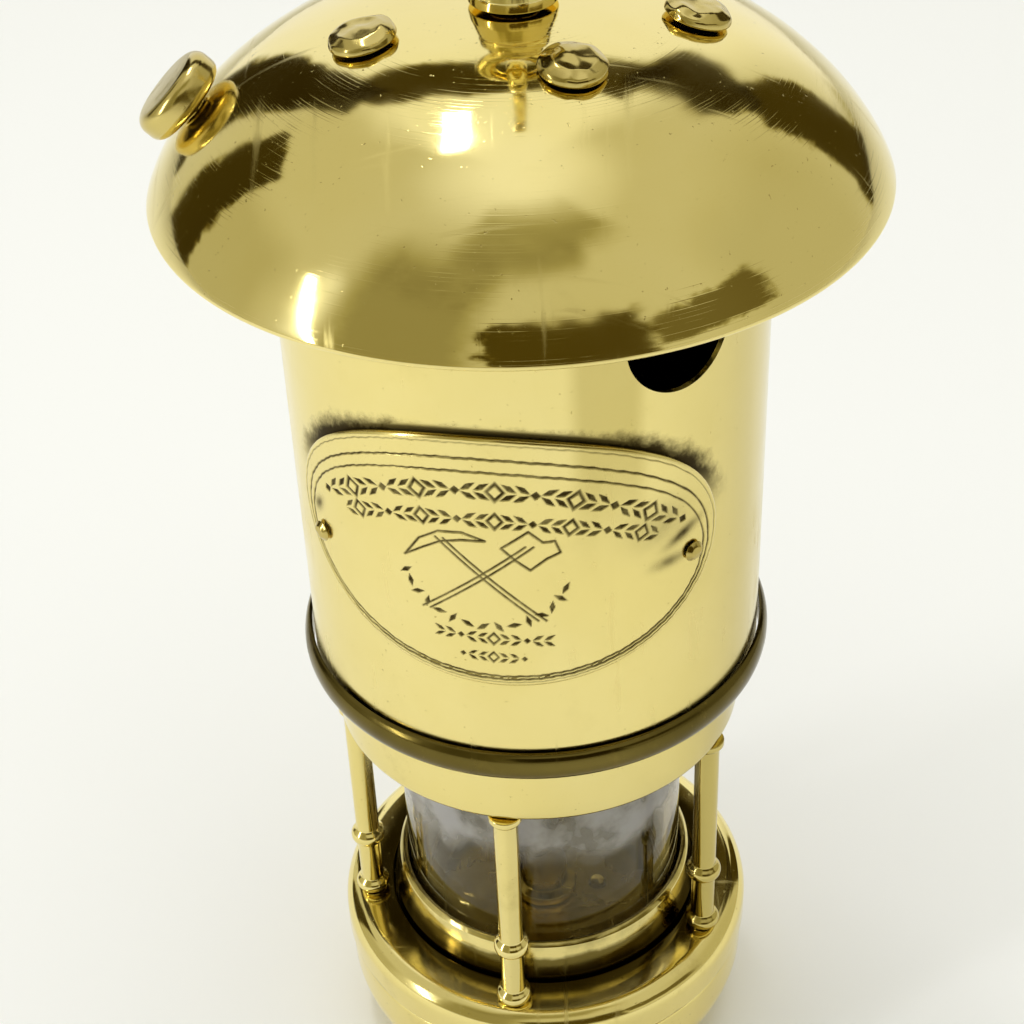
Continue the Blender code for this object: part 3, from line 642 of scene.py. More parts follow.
# the cage: painted shade on its right side
CAGE_BRASS = brass("cage_brass_look", roughness=0.10, tarnish=0.25, darkening=painted_right_shade)
BURNER_BRASS = brass("sooted_brass_look", roughness=0.30, tarnish=0.55, tones=SOOTED)
HOT_BRASS = brass("heat_darkened_brass_look", roughness=0.30, tarnish=0.95)
GLASS = make_glass()
GAUZE = make_gauze()
BOARD = make_board()
COTTON = make_cotton()


# -------- putting pieces in

BODY_OF = {name: body for body, names in frame["record"]["behaviour"]["bodies"].items() for name in names}


def fit(obj, material, *nodes):
    """The fine piece takes the place of its CAD nodes: same body, and the material given."""
    obj.data.materials.clear()
    obj.data.materials.append(material)
    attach(obj, BODY_OF[nodes[0]])
    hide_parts(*nodes)
    return obj


def keep(material, *names):
    """CAD nodes whose shapes are right: their edges are shaded and they take the material."""
    for name in names:
        mesh = frame["nodes"][name].data
        mesh.materials.clear()
        mesh.materials.append(material)
        mesh.shade_smooth()
        mesh.set_sharp_from_angle(angle=math.radians(34.0))


# -------- hood

def hood_outline(share):
    """Radius and height of the hood's outside, by the share of the way from its top (0) to its rim (1)."""
    turn = math.radians(90.0 * (1.0 - share))
    radius = HOOD_RADIUS * max(math.cos(turn), 0.0) ** SIDE_CURVE
    return radius, HOOD_RIM_Z + HOOD_HEIGHT * math.sin(turn) ** CROWN_CURVE


def hood_normal(share):
    step = 0.002
    near, far = hood_outline(max(share - step, 0.0)), hood_outline(min(share + step, 1.0))
    return Vector((near[1] - far[1], far[0] - near[0])).normalized()


def hood_share(radius):
    return 1.0 - math.degrees(math.acos((radius / HOOD_RADIUS) ** (1 / SIDE_CURVE))) / 90.0


def on_hood(azimuth, radius):
    """The matrix that puts a piece on the hood, square to its surface."""
    share = hood_share(radius)
    across, up = hood_normal(share)
    direction = outward(azimuth) * across + Vector((0.0, 0.0, up))
    return facing(around(azimuth, radius, hood_outline(share)[1]), direction)


def make_hood():
    first = hood_share(HOOD_HOLE)
    shares = first + (1.0 - first) * np.linspace(0.0, 1.0, 84)
    lip = HOOD_THICKNESS / 2
    outside, inside = [], []
    for share in shares:
        radius, height = hood_outline(share)
        across, up = hood_normal(share)
        if height > HOOD_RIM_Z + lip:
            outside.append((radius, height))
        if height - up * HOOD_THICKNESS > HOOD_RIM_Z + lip:
            inside.append((radius - across * HOOD_THICKNESS, height - up * HOOD_THICKNESS))
    inside[0] = (outside[0][0], inside[0][1])
    edge = arc((outside[-1][0] - lip, HOOD_RIM_Z + lip), lip, -5, -175, 9)
    hood = lathe("hood_spun", outside + edge + inside[::-1], 288, 50.0)

    def dents(point, normal):
        """Shallow waves of the spinning and a few knocks; the rim stays true."""
        height = min(1.0, (point.z - HOOD_RIM_Z) / 5.0)
        wave = 0.10 * wobble(point, 17.0, 3) + 0.035 * wobble(point, 7.0, 5)
        knock = 0.0
        for azimuth, radius, width, depth in KNOCKS:
            centre = around(azimuth, radius) / MM
            gone = ((point.x - centre.x) ** 2 + (point.y - centre.y) ** 2) / width**2
            knock -= depth * math.exp(-gone)
        side = 1.0 if normal.z > 0 else -1.0
        return max(height, 0.0) * (wave + knock) * side

    displaced(hood, dents)
    for azimuth, circle, radius in [(*rivet, 1.6) for rivet in RIVETS] + [(KNOB_AZIMUTH, KNOB_CIRCLE, 1.9)]:
        boolean(hood, drill("hole", radius, -6.0, 6.0, on_hood(azimuth, circle), 24))
    hood.data.set_sharp_from_angle(angle=math.radians(50.0))
    fit(hood, HOOD_BRASS, "hood")

    for number, (azimuth, circle) in enumerate(RIVETS, 1):
        head = [(0.0, 2.3, 0), (2.9, 2.15, 1.4), (4.45, 1.45, 0.8), (4.65, GAP + 0.25, 0.25), (4.3, GAP, 0.1)]
        head += [(1.3, GAP, 0.1), (1.3, -4.4, 0.3), (0.0, -4.4, 0)]
        rivet = lathe(f"hood_rivet_{number}_hammered", dense(solid(head, 6), 0.5), 64, 55.0)

        def hammer(point, normal, seed=number):
            """Facets of the hammer on the head; the shank stays plain."""
            if point.z < GAP:
                return 0.0
            share = min(1.0, (point.z - GAP) / 0.8)
            return share * (0.30 * wobble(point, 2.6, seed) + 0.06 * wobble(point, 1.1, seed + 9))

        displaced(rivet, hammer)
        fit(moved(rivet, on_hood(azimuth, circle)), WORN_BRASS, f"hood_rivet_{number}")
        keep(HOT_BRASS, f"hood_post_{number}")


def make_hood_knob():
    top, bottom, radius = 5.1, 0.7, 6.7
    under = -HOOD_THICKNESS - GAP
    knob = [(0.0, top, 0), (radius, top, 1.8), (radius, bottom, 1.5), (2.6, bottom, 0.5), (2.4, GAP, 0.2)]
    knob += [(1.6, GAP, 0.1), (1.6, under, 0.1)]
    knob += [(3.0, under, 0.2), (3.0, under - 1.5, 0.5), (0.0, under - 1.6, 0)]
    knob = lathe("hood_knob_turned", solid(knob, 8), SMALL)
    fit(moved(knob, on_hood(KNOB_AZIMUTH, KNOB_CIRCLE)), WORN_BRASS, "hood_knob")


# -------- bonnet

def make_bonnet():
    inner = BONNET_RADIUS - BONNET_WALL
    corners = [(BONNET_RADIUS, BONNET_TOP, 0.25), (BONNET_RADIUS, BONNET_BOTTOM, 0.25)]
    corners += [(inner, BONNET_BOTTOM, 0.25), (inner, BONNET_TOP, 0.25)]
    bonnet = lathe("bonnet_rolled", dense(rounded(corners, 3), 4.0), BROAD)

    def seam(point, normal):
        """The sheet laps over itself at the back, and is a little out of round."""
        azimuth = math.degrees(math.atan2(point.x, -point.y)) % 360.0
        outer = math.hypot(point.x, point.y) > BONNET_RADIUS - 0.2
        lap = 0.22 if outer and abs(azimuth - 180.0) < 5.0 else 0.0
        return lap + (0.03 * wobble(point, 26.0, 2) if outer else 0.0)

    displaced(bonnet, seam)
    for number in range(3):
        matrix = sideways(FIRST_VENT + 120.0 * number, VENT_Z)
        boolean(bonnet, drill("vent", VENT_RADIUS, 25.0, 45.0, matrix, 72))
    for side in (-1.0, 1.0):
        badge_rivet_hole(bonnet, side)
    fit(bonnet, BONNET_BRASS, "bonnet")
    bead = swell(BONNET_RADIUS + GAP, BONNET_BOTTOM + 2.7, 1.4, 2.5, 88, -88, 17)
    fit(lathe("bonnet_bead_rolled", bead, BROAD, 60.0), BEAD_PAINTED_DARK, "bonnet_bead")
    keep(HOT_BRASS, "bonnet_crown")


def badge_rivet_hole(obj, side):
    """Drills the hole of the rivet on one side, and returns the matrix of that rivet."""
    azimuth = BADGE_AZIMUTH + side * math.degrees(BADGE_RIVET_OFFSET / BADGE_BACK)
    matrix = sideways(azimuth, BADGE_RIVET_Z)
    boolean(obj, drill("rivet_hole", 1.0, 30.0, 40.0, matrix, 24))
    return matrix


def make_badge_mesh():
    """A fine grid pressed into an oval, engraved, wrapped round the bonnet and given its thickness."""
    columns, rows = 420, 268
    x, y = np.meshgrid(np.linspace(-1, 1, columns), np.linspace(-1, 1, rows))
    along = x * np.sqrt(1 - y * y / 2) * BADGE_LENGTH / 2
    up = y * np.sqrt(1 - x * x / 2) * BADGE_HEIGHT / 2
    carved = engraving(along, up)
    inset = edge_distance(along, up)
    roll = 0.28 * np.clip(1 - inset / 0.6, 0, 1) ** 2
    front_radius = BADGE_FACE - 0.14 * carved - roll
    tilt = math.radians(BADGE_TILT)
    azimuth = math.radians(BADGE_AZIMUTH) + (along * math.cos(tilt) - up * math.sin(tilt)) / BADGE_BACK
    height = BADGE_Z + along * math.sin(tilt) + up * math.cos(tilt)

    def wrapped(radius):
        return np.stack([radius * np.sin(azimuth), -radius * np.cos(azimuth), height], -1).reshape(-1, 3) * MM

    points = np.concatenate([wrapped(front_radius), wrapped(np.full_like(front_radius, BADGE_BACK))])
    index = np.arange(rows * columns).reshape(rows, columns)
    front = np.stack([index[:-1, :-1], index[:-1, 1:], index[1:, 1:], index[1:, :-1]], -1).reshape(-1, 4)
    back = front[:, ::-1] + rows * columns
    ring = np.concatenate([index[0, :], index[1:, -1], index[-1, -2::-1], index[-2:0:-1, 0]])
    after = np.roll(ring, -1)
    side = np.stack([ring, ring + rows * columns, after + rows * columns, after], -1)
    faces = np.concatenate([front, back, side])
    badge = mesh_object("badge_engraved", points, faces.tolist(), 60.0)
    attribute = badge.data.attributes.new("engraved", "FLOAT", "POINT")
    dark = np.maximum(carved, rivet_grime(along, up)).ravel()
    attribute.data.foreach_set("value", np.concatenate([dark, np.zeros(dark.size)]).astype(np.float32))
    return badge


def edge_distance(along, up):
    """Roughly how far a point lies inside the badge's oval, in mm."""
    a, b = BADGE_LENGTH / 2, BADGE_HEIGHT / 2
    reach = np.sqrt((along / a) ** 2 + (up / b) ** 2) + 1e-9
    slope = np.sqrt((along / a**2) ** 2 + (up / b**2) ** 2) / reach + 1e-9
    return (1 - reach) / slope


def cut_line(distance, width):
    """How deep a cut of this width is, from 0 to 1, by distance from its middle line."""
    return np.clip(1.35 - 1.35 * distance / (width / 2), 0, 1)


def stroke(along, up, start, end, width):
    """A straight cut from start to end."""
    ax, ay = start
    dx, dy = end[0] - ax, end[1] - ay
    share = np.clip(((along - ax) * dx + (up - ay) * dy) / (dx * dx + dy * dy + 1e-12), 0, 1)
    return cut_line(np.hypot(along - ax - share * dx, up - ay - share * dy), width)


def leaned(along, up, centre, lean):
    """The place as seen from a mark's centre, along and across its lean."""
    x, y = along - centre[0], up - centre[1]
    return x * math.cos(lean) + y * math.sin(lean), y * math.cos(lean) - x * math.sin(lean)


def lozenge(along, up, centre, wide, tall, lean):
    """A filled lozenge mark, leaned by an angle."""
    x, y = leaned(along, up, centre, lean)
    return np.clip((1.15 - np.abs(x) / wide - np.abs(y) / tall) / 0.3, 0, 1)


def smear(along, up, centre, wide, tall, lean):
    """A soft dark patch, leaned by an angle."""
    x, y = leaned(along, up, centre, lean)
    return np.exp(-((x / wide) ** 2) - (y / tall) ** 2)


def border_lines(along, up):
    """A groove near the edge and two lines that part towards the top, all a little unsteady."""
    inset = edge_distance(along, up) + 0.035 * np.sin(along * 1.3 + up)
    inset += 0.04 * np.sin(along * 3.7 + up * 2.1)
    topness = np.clip((up / BADGE_HEIGHT + 0.22) / 0.6, 0, 1)
    topness = topness * topness * (3 - 2 * topness)
    carved = 0.6 * cut_line(np.abs(inset - 0.8), 0.30)
    for start, spread in ((1.35, 1.9), (1.9, 3.5)):
        carved = np.maximum(carved, cut_line(np.abs(inset - start - spread * topness), 0.50))
    return carved


def ornament_row(along, up, top, drop, pitch, size, count):
    """An arched band of leaf pairs, with a ringed lozenge or a dot between them."""
    carved = np.zeros_like(along)
    for i in range(-count, count + 1):
        x = i * pitch
        centre, lean = (x, top - drop * x * x), math.atan(-2 * drop * x)
        near = (np.abs(along - centre[0]) < 4) & (np.abs(up - centre[1]) < 4)
        here, there = along[near], up[near]
        if i % 6 == 0:
            mark = lozenge(here, there, centre, 0.80 * size, size, lean)
            mark = mark * (1 - lozenge(here, there, centre, 0.45 * size, 0.55 * size, lean))
        elif i % 6 == 3:
            mark = lozenge(here, there, centre, 0.40 * size, 0.40 * size, lean)
        else:
            mark = np.zeros_like(here)
            spread = 1.05 if i % 6 < 3 else -1.05
            for part in (-1, 1):
                off = part * 0.42 * size
                base = (centre[0] - off * math.sin(lean), centre[1] + off * math.cos(lean))
                leaf = lozenge(here, there, base, 0.24 * size, 0.72 * size, lean + part * spread)
                mark = np.maximum(mark, leaf)
        carved[near] = np.maximum(carved[near], mark)
    return carved


def emblem(along, up):
    """A pick crossed with a hammer over a low wreath, all in outline."""
    x, y = along + 1.5, up + 2.6
    cuts = []
    for side in (-1, 1):
        for shift in (-0.55, 0.55):
            cuts.append(stroke(x, y, (side * 8.2 + shift, -6.4), (-side * 6.2 + shift, 6.6), 0.50))
    pick = [(-11.4, 2.0), (-9.2, 5.6), (-6.3, 7.7), (-3.0, 8.2)]
    pick += [(0.2, 7.2), (-3.0, 6.9), (-6.0, 6.0), (-8.6, 4.2)]
    hammer = [(2.4, 6.2), (6.0, 9.2), (8.0, 7.4), (9.6, 7.6), (10.4, 5.6), (8.6, 4.6), (6.4, 2.6), (4.4, 4.2)]
    for shape in (pick, hammer):
        cuts += [stroke(x, y, start, end, 0.55) for start, end in zip(shape, shape[1:] + shape[:1])]
    for i in range(-7, 8):
        angle = math.radians(i * 11.0)
        centre = (11.6 * math.sin(angle), 1.4 - 9.4 * math.cos(angle))
        cuts.append(lozenge(x, y, centre, 0.42, 1.15, -angle + (0.9 if i % 2 else 2.2)))
    return np.maximum.reduce(cuts)


ORNAMENT_ROWS = (  # height at the middle, drop, pitch and size of the marks, and how many to each side
    (13.0, 0.0122, 1.80, 1.80, 15),
    (8.1, 0.0096, 1.70, 1.60, 13),
    (-12.7, 0.0, 1.55, 1.30, 5),
    (-16.1, 0.0, 1.45, 1.15, 3),
)
GREASE = (  # how dark, centre, width, height and lean of the smears round the badge's rivets
    (0.95, (27.3, 1.6), 2.8, 0.9, 0.5),
    (0.7, (25.2, -2.4), 2.6, 1.0, 0.1),
    (0.9, (-29.6, -0.2), 0.8, 1.5, -0.5),
    (0.35, (23.5, 4.5), 4.5, 3.5, 0.4),
)


def engraving(along, up):
    """Border lines, two arched rows of ornament, the emblem, and two short straight rows under it."""
    rows = [ornament_row(along, up, *row) for row in ORNAMENT_ROWS]
    return np.maximum.reduce([border_lines(along, up), *rows, emblem(along, up)])


def rivet_grime(along, up):
    """Black grease that has crept out from under the badge's rivets."""
    return np.clip(sum(dark * smear(along, up, *shape) for dark, *shape in GREASE), 0, 1)


def make_badge():
    badge = make_badge_mesh()
    rivet_seat = BADGE_FACE + GAP
    for name, side in (("left", -1.0), ("right", 1.0)):
        matrix = badge_rivet_hole(badge, side)
        head = [(0.0, rivet_seat + 0.8, 0), (0.9, rivet_seat + 0.7, 0.5), (1.6, rivet_seat + 0.1, 0.2)]
        head += [(1.5, rivet_seat, 0.05), (0.7, rivet_seat, 0.05), (0.7, BONNET_RADIUS - 1.4, 0.1)]
        head += [(0.0, BONNET_RADIUS - 1.4, 0)]
        rivet = lathe(f"badge_rivet_{name}_peened", dense(solid(head), 0.3), TINY, 55.0)

        def peen(point, normal, seed=side + 4):
            """Uneven hammering of the head."""
            return 0.10 * wobble(point, 0.9, seed) if point.z > rivet_seat + 0.1 else 0.0

        displaced(rivet, peen)
        fit(moved(rivet, matrix), WORN_BRASS, f"badge_rivet_{name}")
    badge.data.set_sharp_from_angle(angle=math.radians(60.0))
    fit(badge, BADGE_BRASS, "badge")


# -------- cage, glass and seat

def make_cage():
    lower = [(CAGE_BORE, CAGE_FLOOR, 0.4), (CAGE_RADIUS, CAGE_FLOOR, 4.2), (CAGE_RADIUS, CAGE_BOTTOM, 0.5)]
    lower += [(CAGE_BORE, CAGE_BOTTOM, 0.3)]
    ring = lathe("cage_lower_ring_turned", dense(rounded(lower, 12), 2.0), BROAD)
    lock_place = sideways(180.0, LOCK_SCREW_Z)
    boolean(ring, drill("screw_hole", 1.8, 20.0, 40.0, lock_place, 32))
    fit(ring, RING_BRASS, "cage_lower_ring")

    top, spigot, inner = 90.0, 34.8, 33.4
    shelf, under_shelf, shelf_bore = 84.0, 82.0, 25.0
    skirt, skirt_bore = 33.3, 28.3
    bottom = TOP_RING_BOTTOM
    upper = [(spigot, top, 0.3), (spigot, shelf + 0.3, 0.2), (skirt, shelf - 0.3, 0.3), (skirt, bottom, 1.6)]
    upper += [(skirt_bore, bottom, 0.4), (skirt_bore, under_shelf, 0.1), (shelf_bore, under_shelf, 0.3)]
    upper += [(shelf_bore, shelf, 0.3), (inner, shelf, 0.2), (inner, top, 0.3)]
    fit(lathe("cage_top_ring_turned", dense(rounded(upper, 8), 3.0), BROAD), CAGE_BRASS, "cage_top_ring")

    bottom, top, bead = CAGE_FLOOR + GAP, TOP_RING_BOTTOM - GAP, 41.0
    pillar = [(0.0, top, 0), (2.7, top, 0.2), (2.7, top - 1.0, 0.3), (2.0, top - 1.8, 0.6)]
    pillar += [(2.0, bead + 1.7, 0.3)] + plain(swell(2.0, bead, 0.95, 1.35, 70, -70, 9))
    pillar += [(2.0, bead - 1.7, 0.3), (2.0, bottom + 2.9, 0.4)]
    pillar += plain(swell(2.0, bottom + 1.35, 0.95, 1.2, 70, -80, 9)) + [(2.1, bottom, 0), (0.0, bottom, 0)]
    for number in range(1, 6):
        post = lathe(f"cage_pillar_{number}_turned", dense(solid(pillar), 4.0), TINY)
        matrix = Matrix.Translation(around(FIRST_PILLAR + 72.0 * (number - 1), PILLAR_CIRCLE))
        fit(moved(post, matrix), CAGE_BRASS, f"cage_pillar_{number}")

    screw = [(0.0, 39.0, 0), (3.0, 39.0, 0.5), (3.0, CAGE_RADIUS + GAP, 0.2), (1.5, CAGE_RADIUS + GAP, 0.1)]
    screw += [(1.5, 28.0, 0.1), (0.8, 27.6, 0.1), (0.0, 27.6, 0)]
    screw = lathe("lock_screw_slotted", solid(screw), TINY)
    boolean(screw, drill("slot", 3.6, 38.2, 40.0, Matrix.Diagonal((0.12, 1.0, 1.0, 1.0)), 32))
    fit(moved(screw, lock_place), WORN_BRASS, "lock_screw")


def make_chimney():
    chimney = [(GLASS_RADIUS, GLASS_TOP, 1.1), (GLASS_RADIUS, GLASS_BOTTOM, 1.1)]
    chimney += [(GLASS_BORE, GLASS_BOTTOM, 1.1), (GLASS_BORE, GLASS_TOP, 1.1)]
    fit(lathe("glass_chimney_drawn", dense(rounded(chimney, 6), 6.0), ROUND), GLASS, "glass_chimney")
    floor = NECK_TOP + GAP
    seat = [(25.0, 35.0, 0.6), (25.7, 34.2, 0.5), (26.1, 32.0, 0.6), (26.9, CAGE_FLOOR + 1.0, 0.5)]
    seat += [(26.9, floor, 0.3), (18.5, floor, 0.3), (18.5, floor + 1.6, 0.3), (24.3, floor + 1.6, 0.1)]
    seat += [(24.3, 34.6, 0.3)]
    fit(lathe("glass_seat_ring_turned", dense(rounded(seat, 6), 2.0), ROUND), SEAT_BRASS, "glass_seat_ring")
    keep(BOARD, "lower_gasket", "upper_gasket")


def make_gauzes():
    keep(GAUZE, "inner_gauze", "outer_gauze")
    keep(HOT_BRASS, "gauze_ring")


# -------- vessel and burner

def make_vessel():
    curve = 11.0
    centre = (VESSEL_RADIUS - curve, 13.5)
    bowl = plain(arc(centre, curve, 0, -62, 22))
    inner_bowl = plain(arc(centre, curve - VESSEL_WALL, -62, 0, 14))
    neck = NECK_RADIUS - VESSEL_WALL
    vessel = [(NECK_RADIUS, NECK_TOP, 0.3), (NECK_RADIUS, VESSEL_TOP, 0.2), (VESSEL_RADIUS, VESSEL_TOP, 1.2)]
    vessel += bowl + [(FOOT_RADIUS + 0.9, 2.7, 0.4), (FOOT_RADIUS + 0.2, 1.9, 0.2), (FOOT_RADIUS, 0.0, 0.4)]
    vessel += [(FOOT_RADIUS - 1.8, 0.0, 0.3), (FOOT_RADIUS - 1.8, 3.4, 0)] + inner_bowl
    vessel += [(VESSEL_RADIUS - VESSEL_WALL, VESSEL_TOP - 2.3, 0.4), (neck, VESSEL_TOP - VESSEL_WALL, 0.3)]
    vessel += [(neck, NECK_TOP, 0.3)]
    fit(lathe("fuel_vessel_spun", dense(rounded(vessel, 6), 3.0), BROAD), BRASS, "fuel_vessel")
    keep(WORN_BRASS, "vessel_bottom_plate", "spindle_bush", "filler_plug")


def make_burner():
    """The burner plate, the wick tube and the wick."""
    keep(BURNER_BRASS, "burner_plate")
    tube = [(3.6, 40.0, 0.2), (4.0, 39.4, 0.2), (4.0, 25.7, 0.3), (5.6, 25.2, 0.3), (5.6, 23.7, 0.2)]
    tube += [(4.0, 23.7, 0.1), (4.0, 21.6, 0.2), (3.0, 21.6, 0.1), (3.0, 40.0, 0.1)]
    fit(lathe("wick_tube_drawn", dense(rounded(tube), 2.0), SMALL), BURNER_BRASS, "wick_tube")
    wick = [(0.0, 42.0, 0), (2.3, 41.9, 0.6), (2.7, 41.0, 0.4), (2.7, 8.0, 0.3), (0.0, 8.0, 0)]
    wick = lathe("wick_plaited", dense(solid(wick), 0.5), SMALL)

    def frayed(point, normal):
        """Loose threads on the wick's top."""
        return 0.25 * wobble(point, 0.7, 1) if point.z > 40.3 and normal.z > 0.2 else 0.0

    fit(displaced(wick, frayed), COTTON, "wick")


def make_wick_knob():
    """The notched knob under the vessel, and the CAD pieces that it drives."""
    keep(WORN_BRASS, "wick_spindle", "wick_carrier")
    rim, notches = high("wick_knob").y, 30
    knob = [(0.0, 3.2, 0), (rim - 0.4, 3.2, 0.3), (rim, 2.8, 0.2), (rim, 1.0, 0.2), (rim - 0.4, 0.6, 0.3)]
    knob += [(rim - 3.0, 0.6, 0.2), (rim - 3.4, 0.9, 0.2), (0.0, 0.9, 0)]
    knob = lathe("wick_knob_milled", solid(knob, 3), 360)
    for vertex in knob.data.vertices:
        angle = math.atan2(vertex.co.y, vertex.co.x)
        if math.hypot(vertex.co.x, vertex.co.y) > (rim - 2.0) * MM:
            vertex.co.xy *= 1.0 - 0.04 * (0.5 - 0.5 * math.cos(notches * angle))
    fit(moved(knob, Matrix.Translation((SPINDLE_X * MM, 0.0, 0.0))), BRASS, "wick_knob")


# -------- swivel and hook

def make_swivel():
    bore, shank, shank_end = 2.5, 3.5, 186.0
    base = hood_outline(hood_share(HOOD_HOLE))[1] + GAP
    boss = [(bore, BOSS_TOP, 0.2), (4.4, BOSS_TOP, 0.3), (5.1, BOSS_TOP - 0.8, 0.5)]
    boss += [(5.2, BOSS_TOP - 2.2, 0.3), (4.95, BOSS_TOP - 2.6, 0.2), (5.3, BOSS_TOP - 3.3, 0.8)]
    boss += [(6.0, base + 1.6, 1.4), (6.1, base + 0.2, 0.2), (shank, base + 0.2, 0.1)]
    boss += [(shank, shank_end, 0.2), (bore, shank_end, 0.2)]
    fit(lathe("hood_boss_turned", rounded(boss), SMALL), BRASS, "hood_boss")
    keep(WORN_BRASS, "boss_nut")

    stem_top = EYE_Z - EYE_RADIUS
    stem = [(0.0, stem_top, 0), (2.6, stem_top, 0.4), (4.2, BOSS_TOP + 1.4, 0.5), (4.2, BOSS_TOP + GAP, 0.2)]
    stem += [(2.2, BOSS_TOP + GAP, 0.1), (2.2, shank_end - GAP, 0.1), (3.4, shank_end - GAP, 0.2)]
    stem += [(3.4, shank_end - 1.8, 0.6), (0.0, shank_end - 2.2, 0)]
    stem = lathe("hook_swivel_forged", solid(stem), 72)
    eye = sweep("eye", arc((0.0, 0.0), EYE_RADIUS, 0, 352.5, 48), lambda share: EYE_WIRE, 24, closed=True)
    turn = Matrix.Translation((0.0, 0.0, EYE_Z * MM)) @ rotation(90.0, "Z")
    boolean(stem, moved(eye, turn), "UNION")
    fit(stem, BRASS, "hook_swivel")


def make_hook():
    pivot = EYE_Z + EYE_RADIUS
    route = arc((0.0, pivot), HOOK_LOOP, 110, 360, 32)
    start, end = Vector(route[-1]), Vector((HOOK_BOW, HOOK_BOW_Z))
    lean = Vector((0.0, (end.y - start.y) * 0.4))
    for t in np.linspace(0, 1, 22)[1:-1]:
        point = start * (1 - t) ** 3 + (start + lean) * (3 * t * (1 - t) ** 2)
        route.append(tuple(point + (end - lean) * (3 * t * t * (1 - t)) + end * t**3))
    route += arc((0.0, HOOK_BOW_Z), HOOK_BOW, 0, 208, 44)

    def thickness(share):
        """Full wire, drawn down to a blunt tip at the bow's end and rounded at the loop's."""
        tip = max(0.0, (share - 0.90) / 0.10)
        tail = max(0.0, (0.015 - share) / 0.015)
        return HOOK_WIRE * (1.0 - 0.35 * tip**1.5) * (1.0 - 0.3 * tail)

    fit(sweep("hook_bent", route, thickness, 28), BRASS, "hook")


# -------- stage: floor, light and camera

def make_floor():
    bpy.ops.mesh.primitive_circle_add(vertices=96, radius=4.0, fill_type="NGON", location=(0.0, 0.0, -0.0002))
    floor = bpy.context.object
    floor.name = "floor"
    floor.data.materials.append(shader("pale_floor", (0.93, 0.93, 0.93), 0.7, 0.0)[0])


def direction_mask(tree, azimuth, elevation, width, height, softness, ragged):
    """How much a direction of the sky lies in a window this many degrees wide and high, from 0 to 1."""
    x, y, z = position(tree, "Generated")
    aside = abs(calc(tree, "WRAP", bearing_of(x, y) - math.radians(azimuth), math.pi, -math.pi))
    rise = abs(calc(tree, "ARCSINE", z) - math.radians(elevation))
    if ragged > 0:
        swing = noise_field(tree, 9.0, 5.0, roughness=0.6, kind="Generated") - 0.5
        swing = swing * (math.radians(ragged) * 2)
        aside, rise = aside + swing, rise + swing

    def within(off, size):
        edge, soft = math.radians(size / 2), math.radians(softness) / 2
        return remap(off, edge - soft, edge + soft, 1.0, 0.0)

    return within(aside, width) * within(rise, height)


SKY_SHADES = (  # azimuth, elevation, width, height, softness, ragged edge, the share of the brightness there
    (0.0, 33.0, 292.0, 84.0, 22.0, 0.0, 0.64),
    (-177.5, 47.0, 62.0, 13.5, 2.5, 4.0, 0.04),
    (-147.0, 22.0, 16.0, 52.0, 1.5, 3.0, 0.01),
    (-121.0, 16.0, 17.0, 42.0, 2.0, 4.0, 0.05),
    (145.0, 41.0, 28.0, 16.0, 2.0, 4.0, 0.02),
    (134.0, 15.0, 17.0, 40.0, 2.0, 4.0, 0.06),
    (137.0, -8.0, 25.0, 17.0, 4.0, 0.0, 0.55),
    (12.0, 20.0, 50.0, 30.0, 4.0, 8.0, 0.10),
    (57.0, 21.0, 40.0, 18.0, 4.0, 6.0, 0.25),
    (-38.0, 24.0, 44.0, 52.0, 18.0, 4.0, 0.50),
    (-36.0, 52.0, 46.0, 13.0, 16.0, 3.0, 0.62),
    (10.0, 69.0, 84.0, 13.0, 13.0, 3.0, 0.50),
    (-3.0, 59.0, 62.0, 10.0, 10.0, 3.0, 0.56),
    (95.0, 20.0, 56.0, 50.0, 24.0, 0.0, 0.85),
    (-100.0, 10.0, 34.0, 44.0, 14.0, 0.0, 0.80),
    (-147.0, 67.0, 24.0, 18.0, 17.0, 3.0, 1.60),
    (-67.0, 21.0, 9.0, 34.0, 9.0, 3.0, 1.60),
)
SKY_TINTS = (  # brightness, and the colour that light of that brightness has in the room
    (0.0, (0.02, 0.013, 0.002)),
    (0.1, (0.11, 0.08, 0.013)),
    (0.4, (0.40, 0.37, 0.20)),
    (0.6, (0.60, 0.575, 0.44)),
    (0.8, (0.80, 0.79, 0.73)),
    (1.0, (1.0, 1.0, 1.0)),
)
PLAIN_SKY = (0.55, 0.54, 0.48)  # what the camera sees past the floor


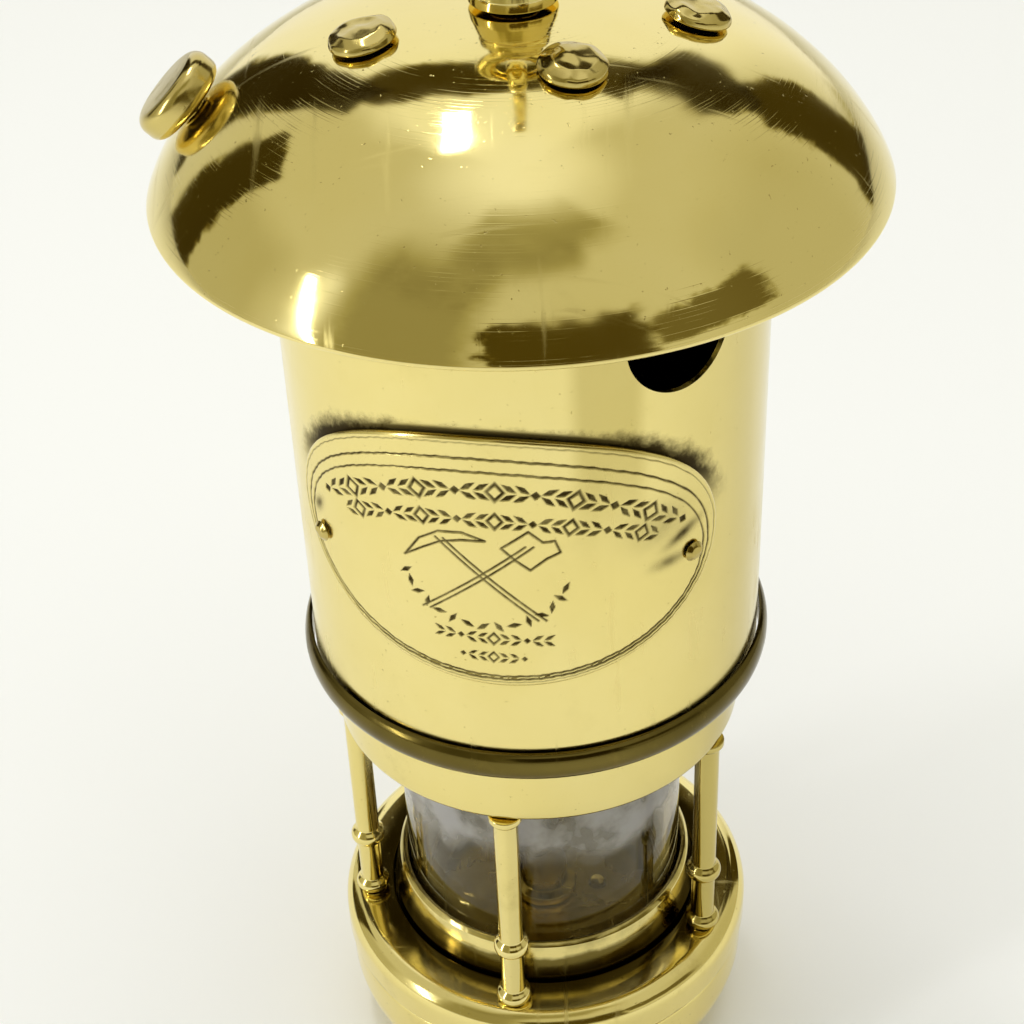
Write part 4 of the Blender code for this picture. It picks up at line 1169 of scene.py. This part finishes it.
def make_sky():
    """A pale room, with the darker and brighter things that stand round it as soft shapes on its walls."""
    world = bpy.data.worlds.new("room")
    bpy.context.scene.world = world
    world.use_nodes = True
    tree = world.node_tree
    light = 1.0
    for *shape, left in SKY_SHADES:
        light = (1.0 - direction_mask(tree, *shape) * (1.0 - left)) * light
    ramp = tree.nodes.new("ShaderNodeValToRGB")
    put(light, ramp.inputs["Fac"], tree)
    stops = ramp.color_ramp.elements
    stops.remove(stops[1])
    stops[0].color = (*SKY_TINTS[0][1], 1.0)
    for brightness, colour in SKY_TINTS[1:]:
        stops.new(brightness).color = (*colour, 1.0)
    path = tree.nodes.new("ShaderNodeLightPath")
    from_camera, room = Field(tree, path.outputs["Is Camera Ray"]), Field(tree, ramp.outputs["Color"])
    put(mix_colour(from_camera, room, PLAIN_SKY), tree.nodes["Background"].inputs["Color"], tree)


def make_light(name, azimuth, elevation, distance, size, radiance, turn=0.0, colour=(1.0, 1.0, 1.0),
               mirrored=True):
    """A soft box facing the lamp, turned about its middle; mirrored says whether the brass shows it."""
    lamp = bpy.data.lights.new(name, "AREA")
    lamp.shape = "RECTANGLE"
    lamp.size, lamp.size_y = size
    lamp.energy = radiance * math.pi * size[0] * size[1]
    lamp.color = colour
    obj = linked(name, lamp)
    rise = math.radians(elevation)
    away = outward(azimuth) * math.cos(rise) + Vector((0.0, 0.0, math.sin(rise)))
    target = Vector((0.0, 0.0, 0.12))
    obj.matrix_world = facing(target + away * distance, away) @ rotation(turn, "Z")
    obj.visible_glossy = mirrored


def make_lights():
    make_light("key_above", -149.0, 68.5, 1.6, (0.13, 0.40), 18.0, turn=-38.0)
    make_light("window_left", -66.0, 19.0, 1.6, (0.080, 0.85), 20.0, turn=20.0)
    make_light("overhead_soft", 0.0, 89.0, 1.5, (2.0, 2.0), 1.15, colour=(0.90, 0.95, 1.0), mirrored=False)


def make_camera():
    """Above the lamp and just in front of it, looking down at the badge."""
    pitch, yaw, roll = 36.57, -0.71, -2.5
    in_front, above_rim = 252.9, 128.6
    lens = bpy.data.cameras.new("camera")
    lens.sensor_width = 36.0
    lens.lens = 70.31
    lens.clip_start = 0.01
    camera = linked("camera", lens)
    place = Matrix.Translation(around(0.0, in_front, HOOD_RIM_Z + above_rim))
    camera.matrix_world = place @ rotation(-yaw, "Z") @ rotation(90.0 - pitch, "X") @ rotation(roll, "Z")
    bpy.context.scene.camera = camera


make_camera()
make_hood()
make_hood_knob()
make_bonnet()
make_badge()
make_cage()
make_chimney()
make_gauzes()
make_vessel()
make_burner()
make_wick_knob()
make_swivel()
make_hook()
make_floor()
make_sky()
make_lights()
bpy.context.scene.view_settings.view_transform = "Standard"
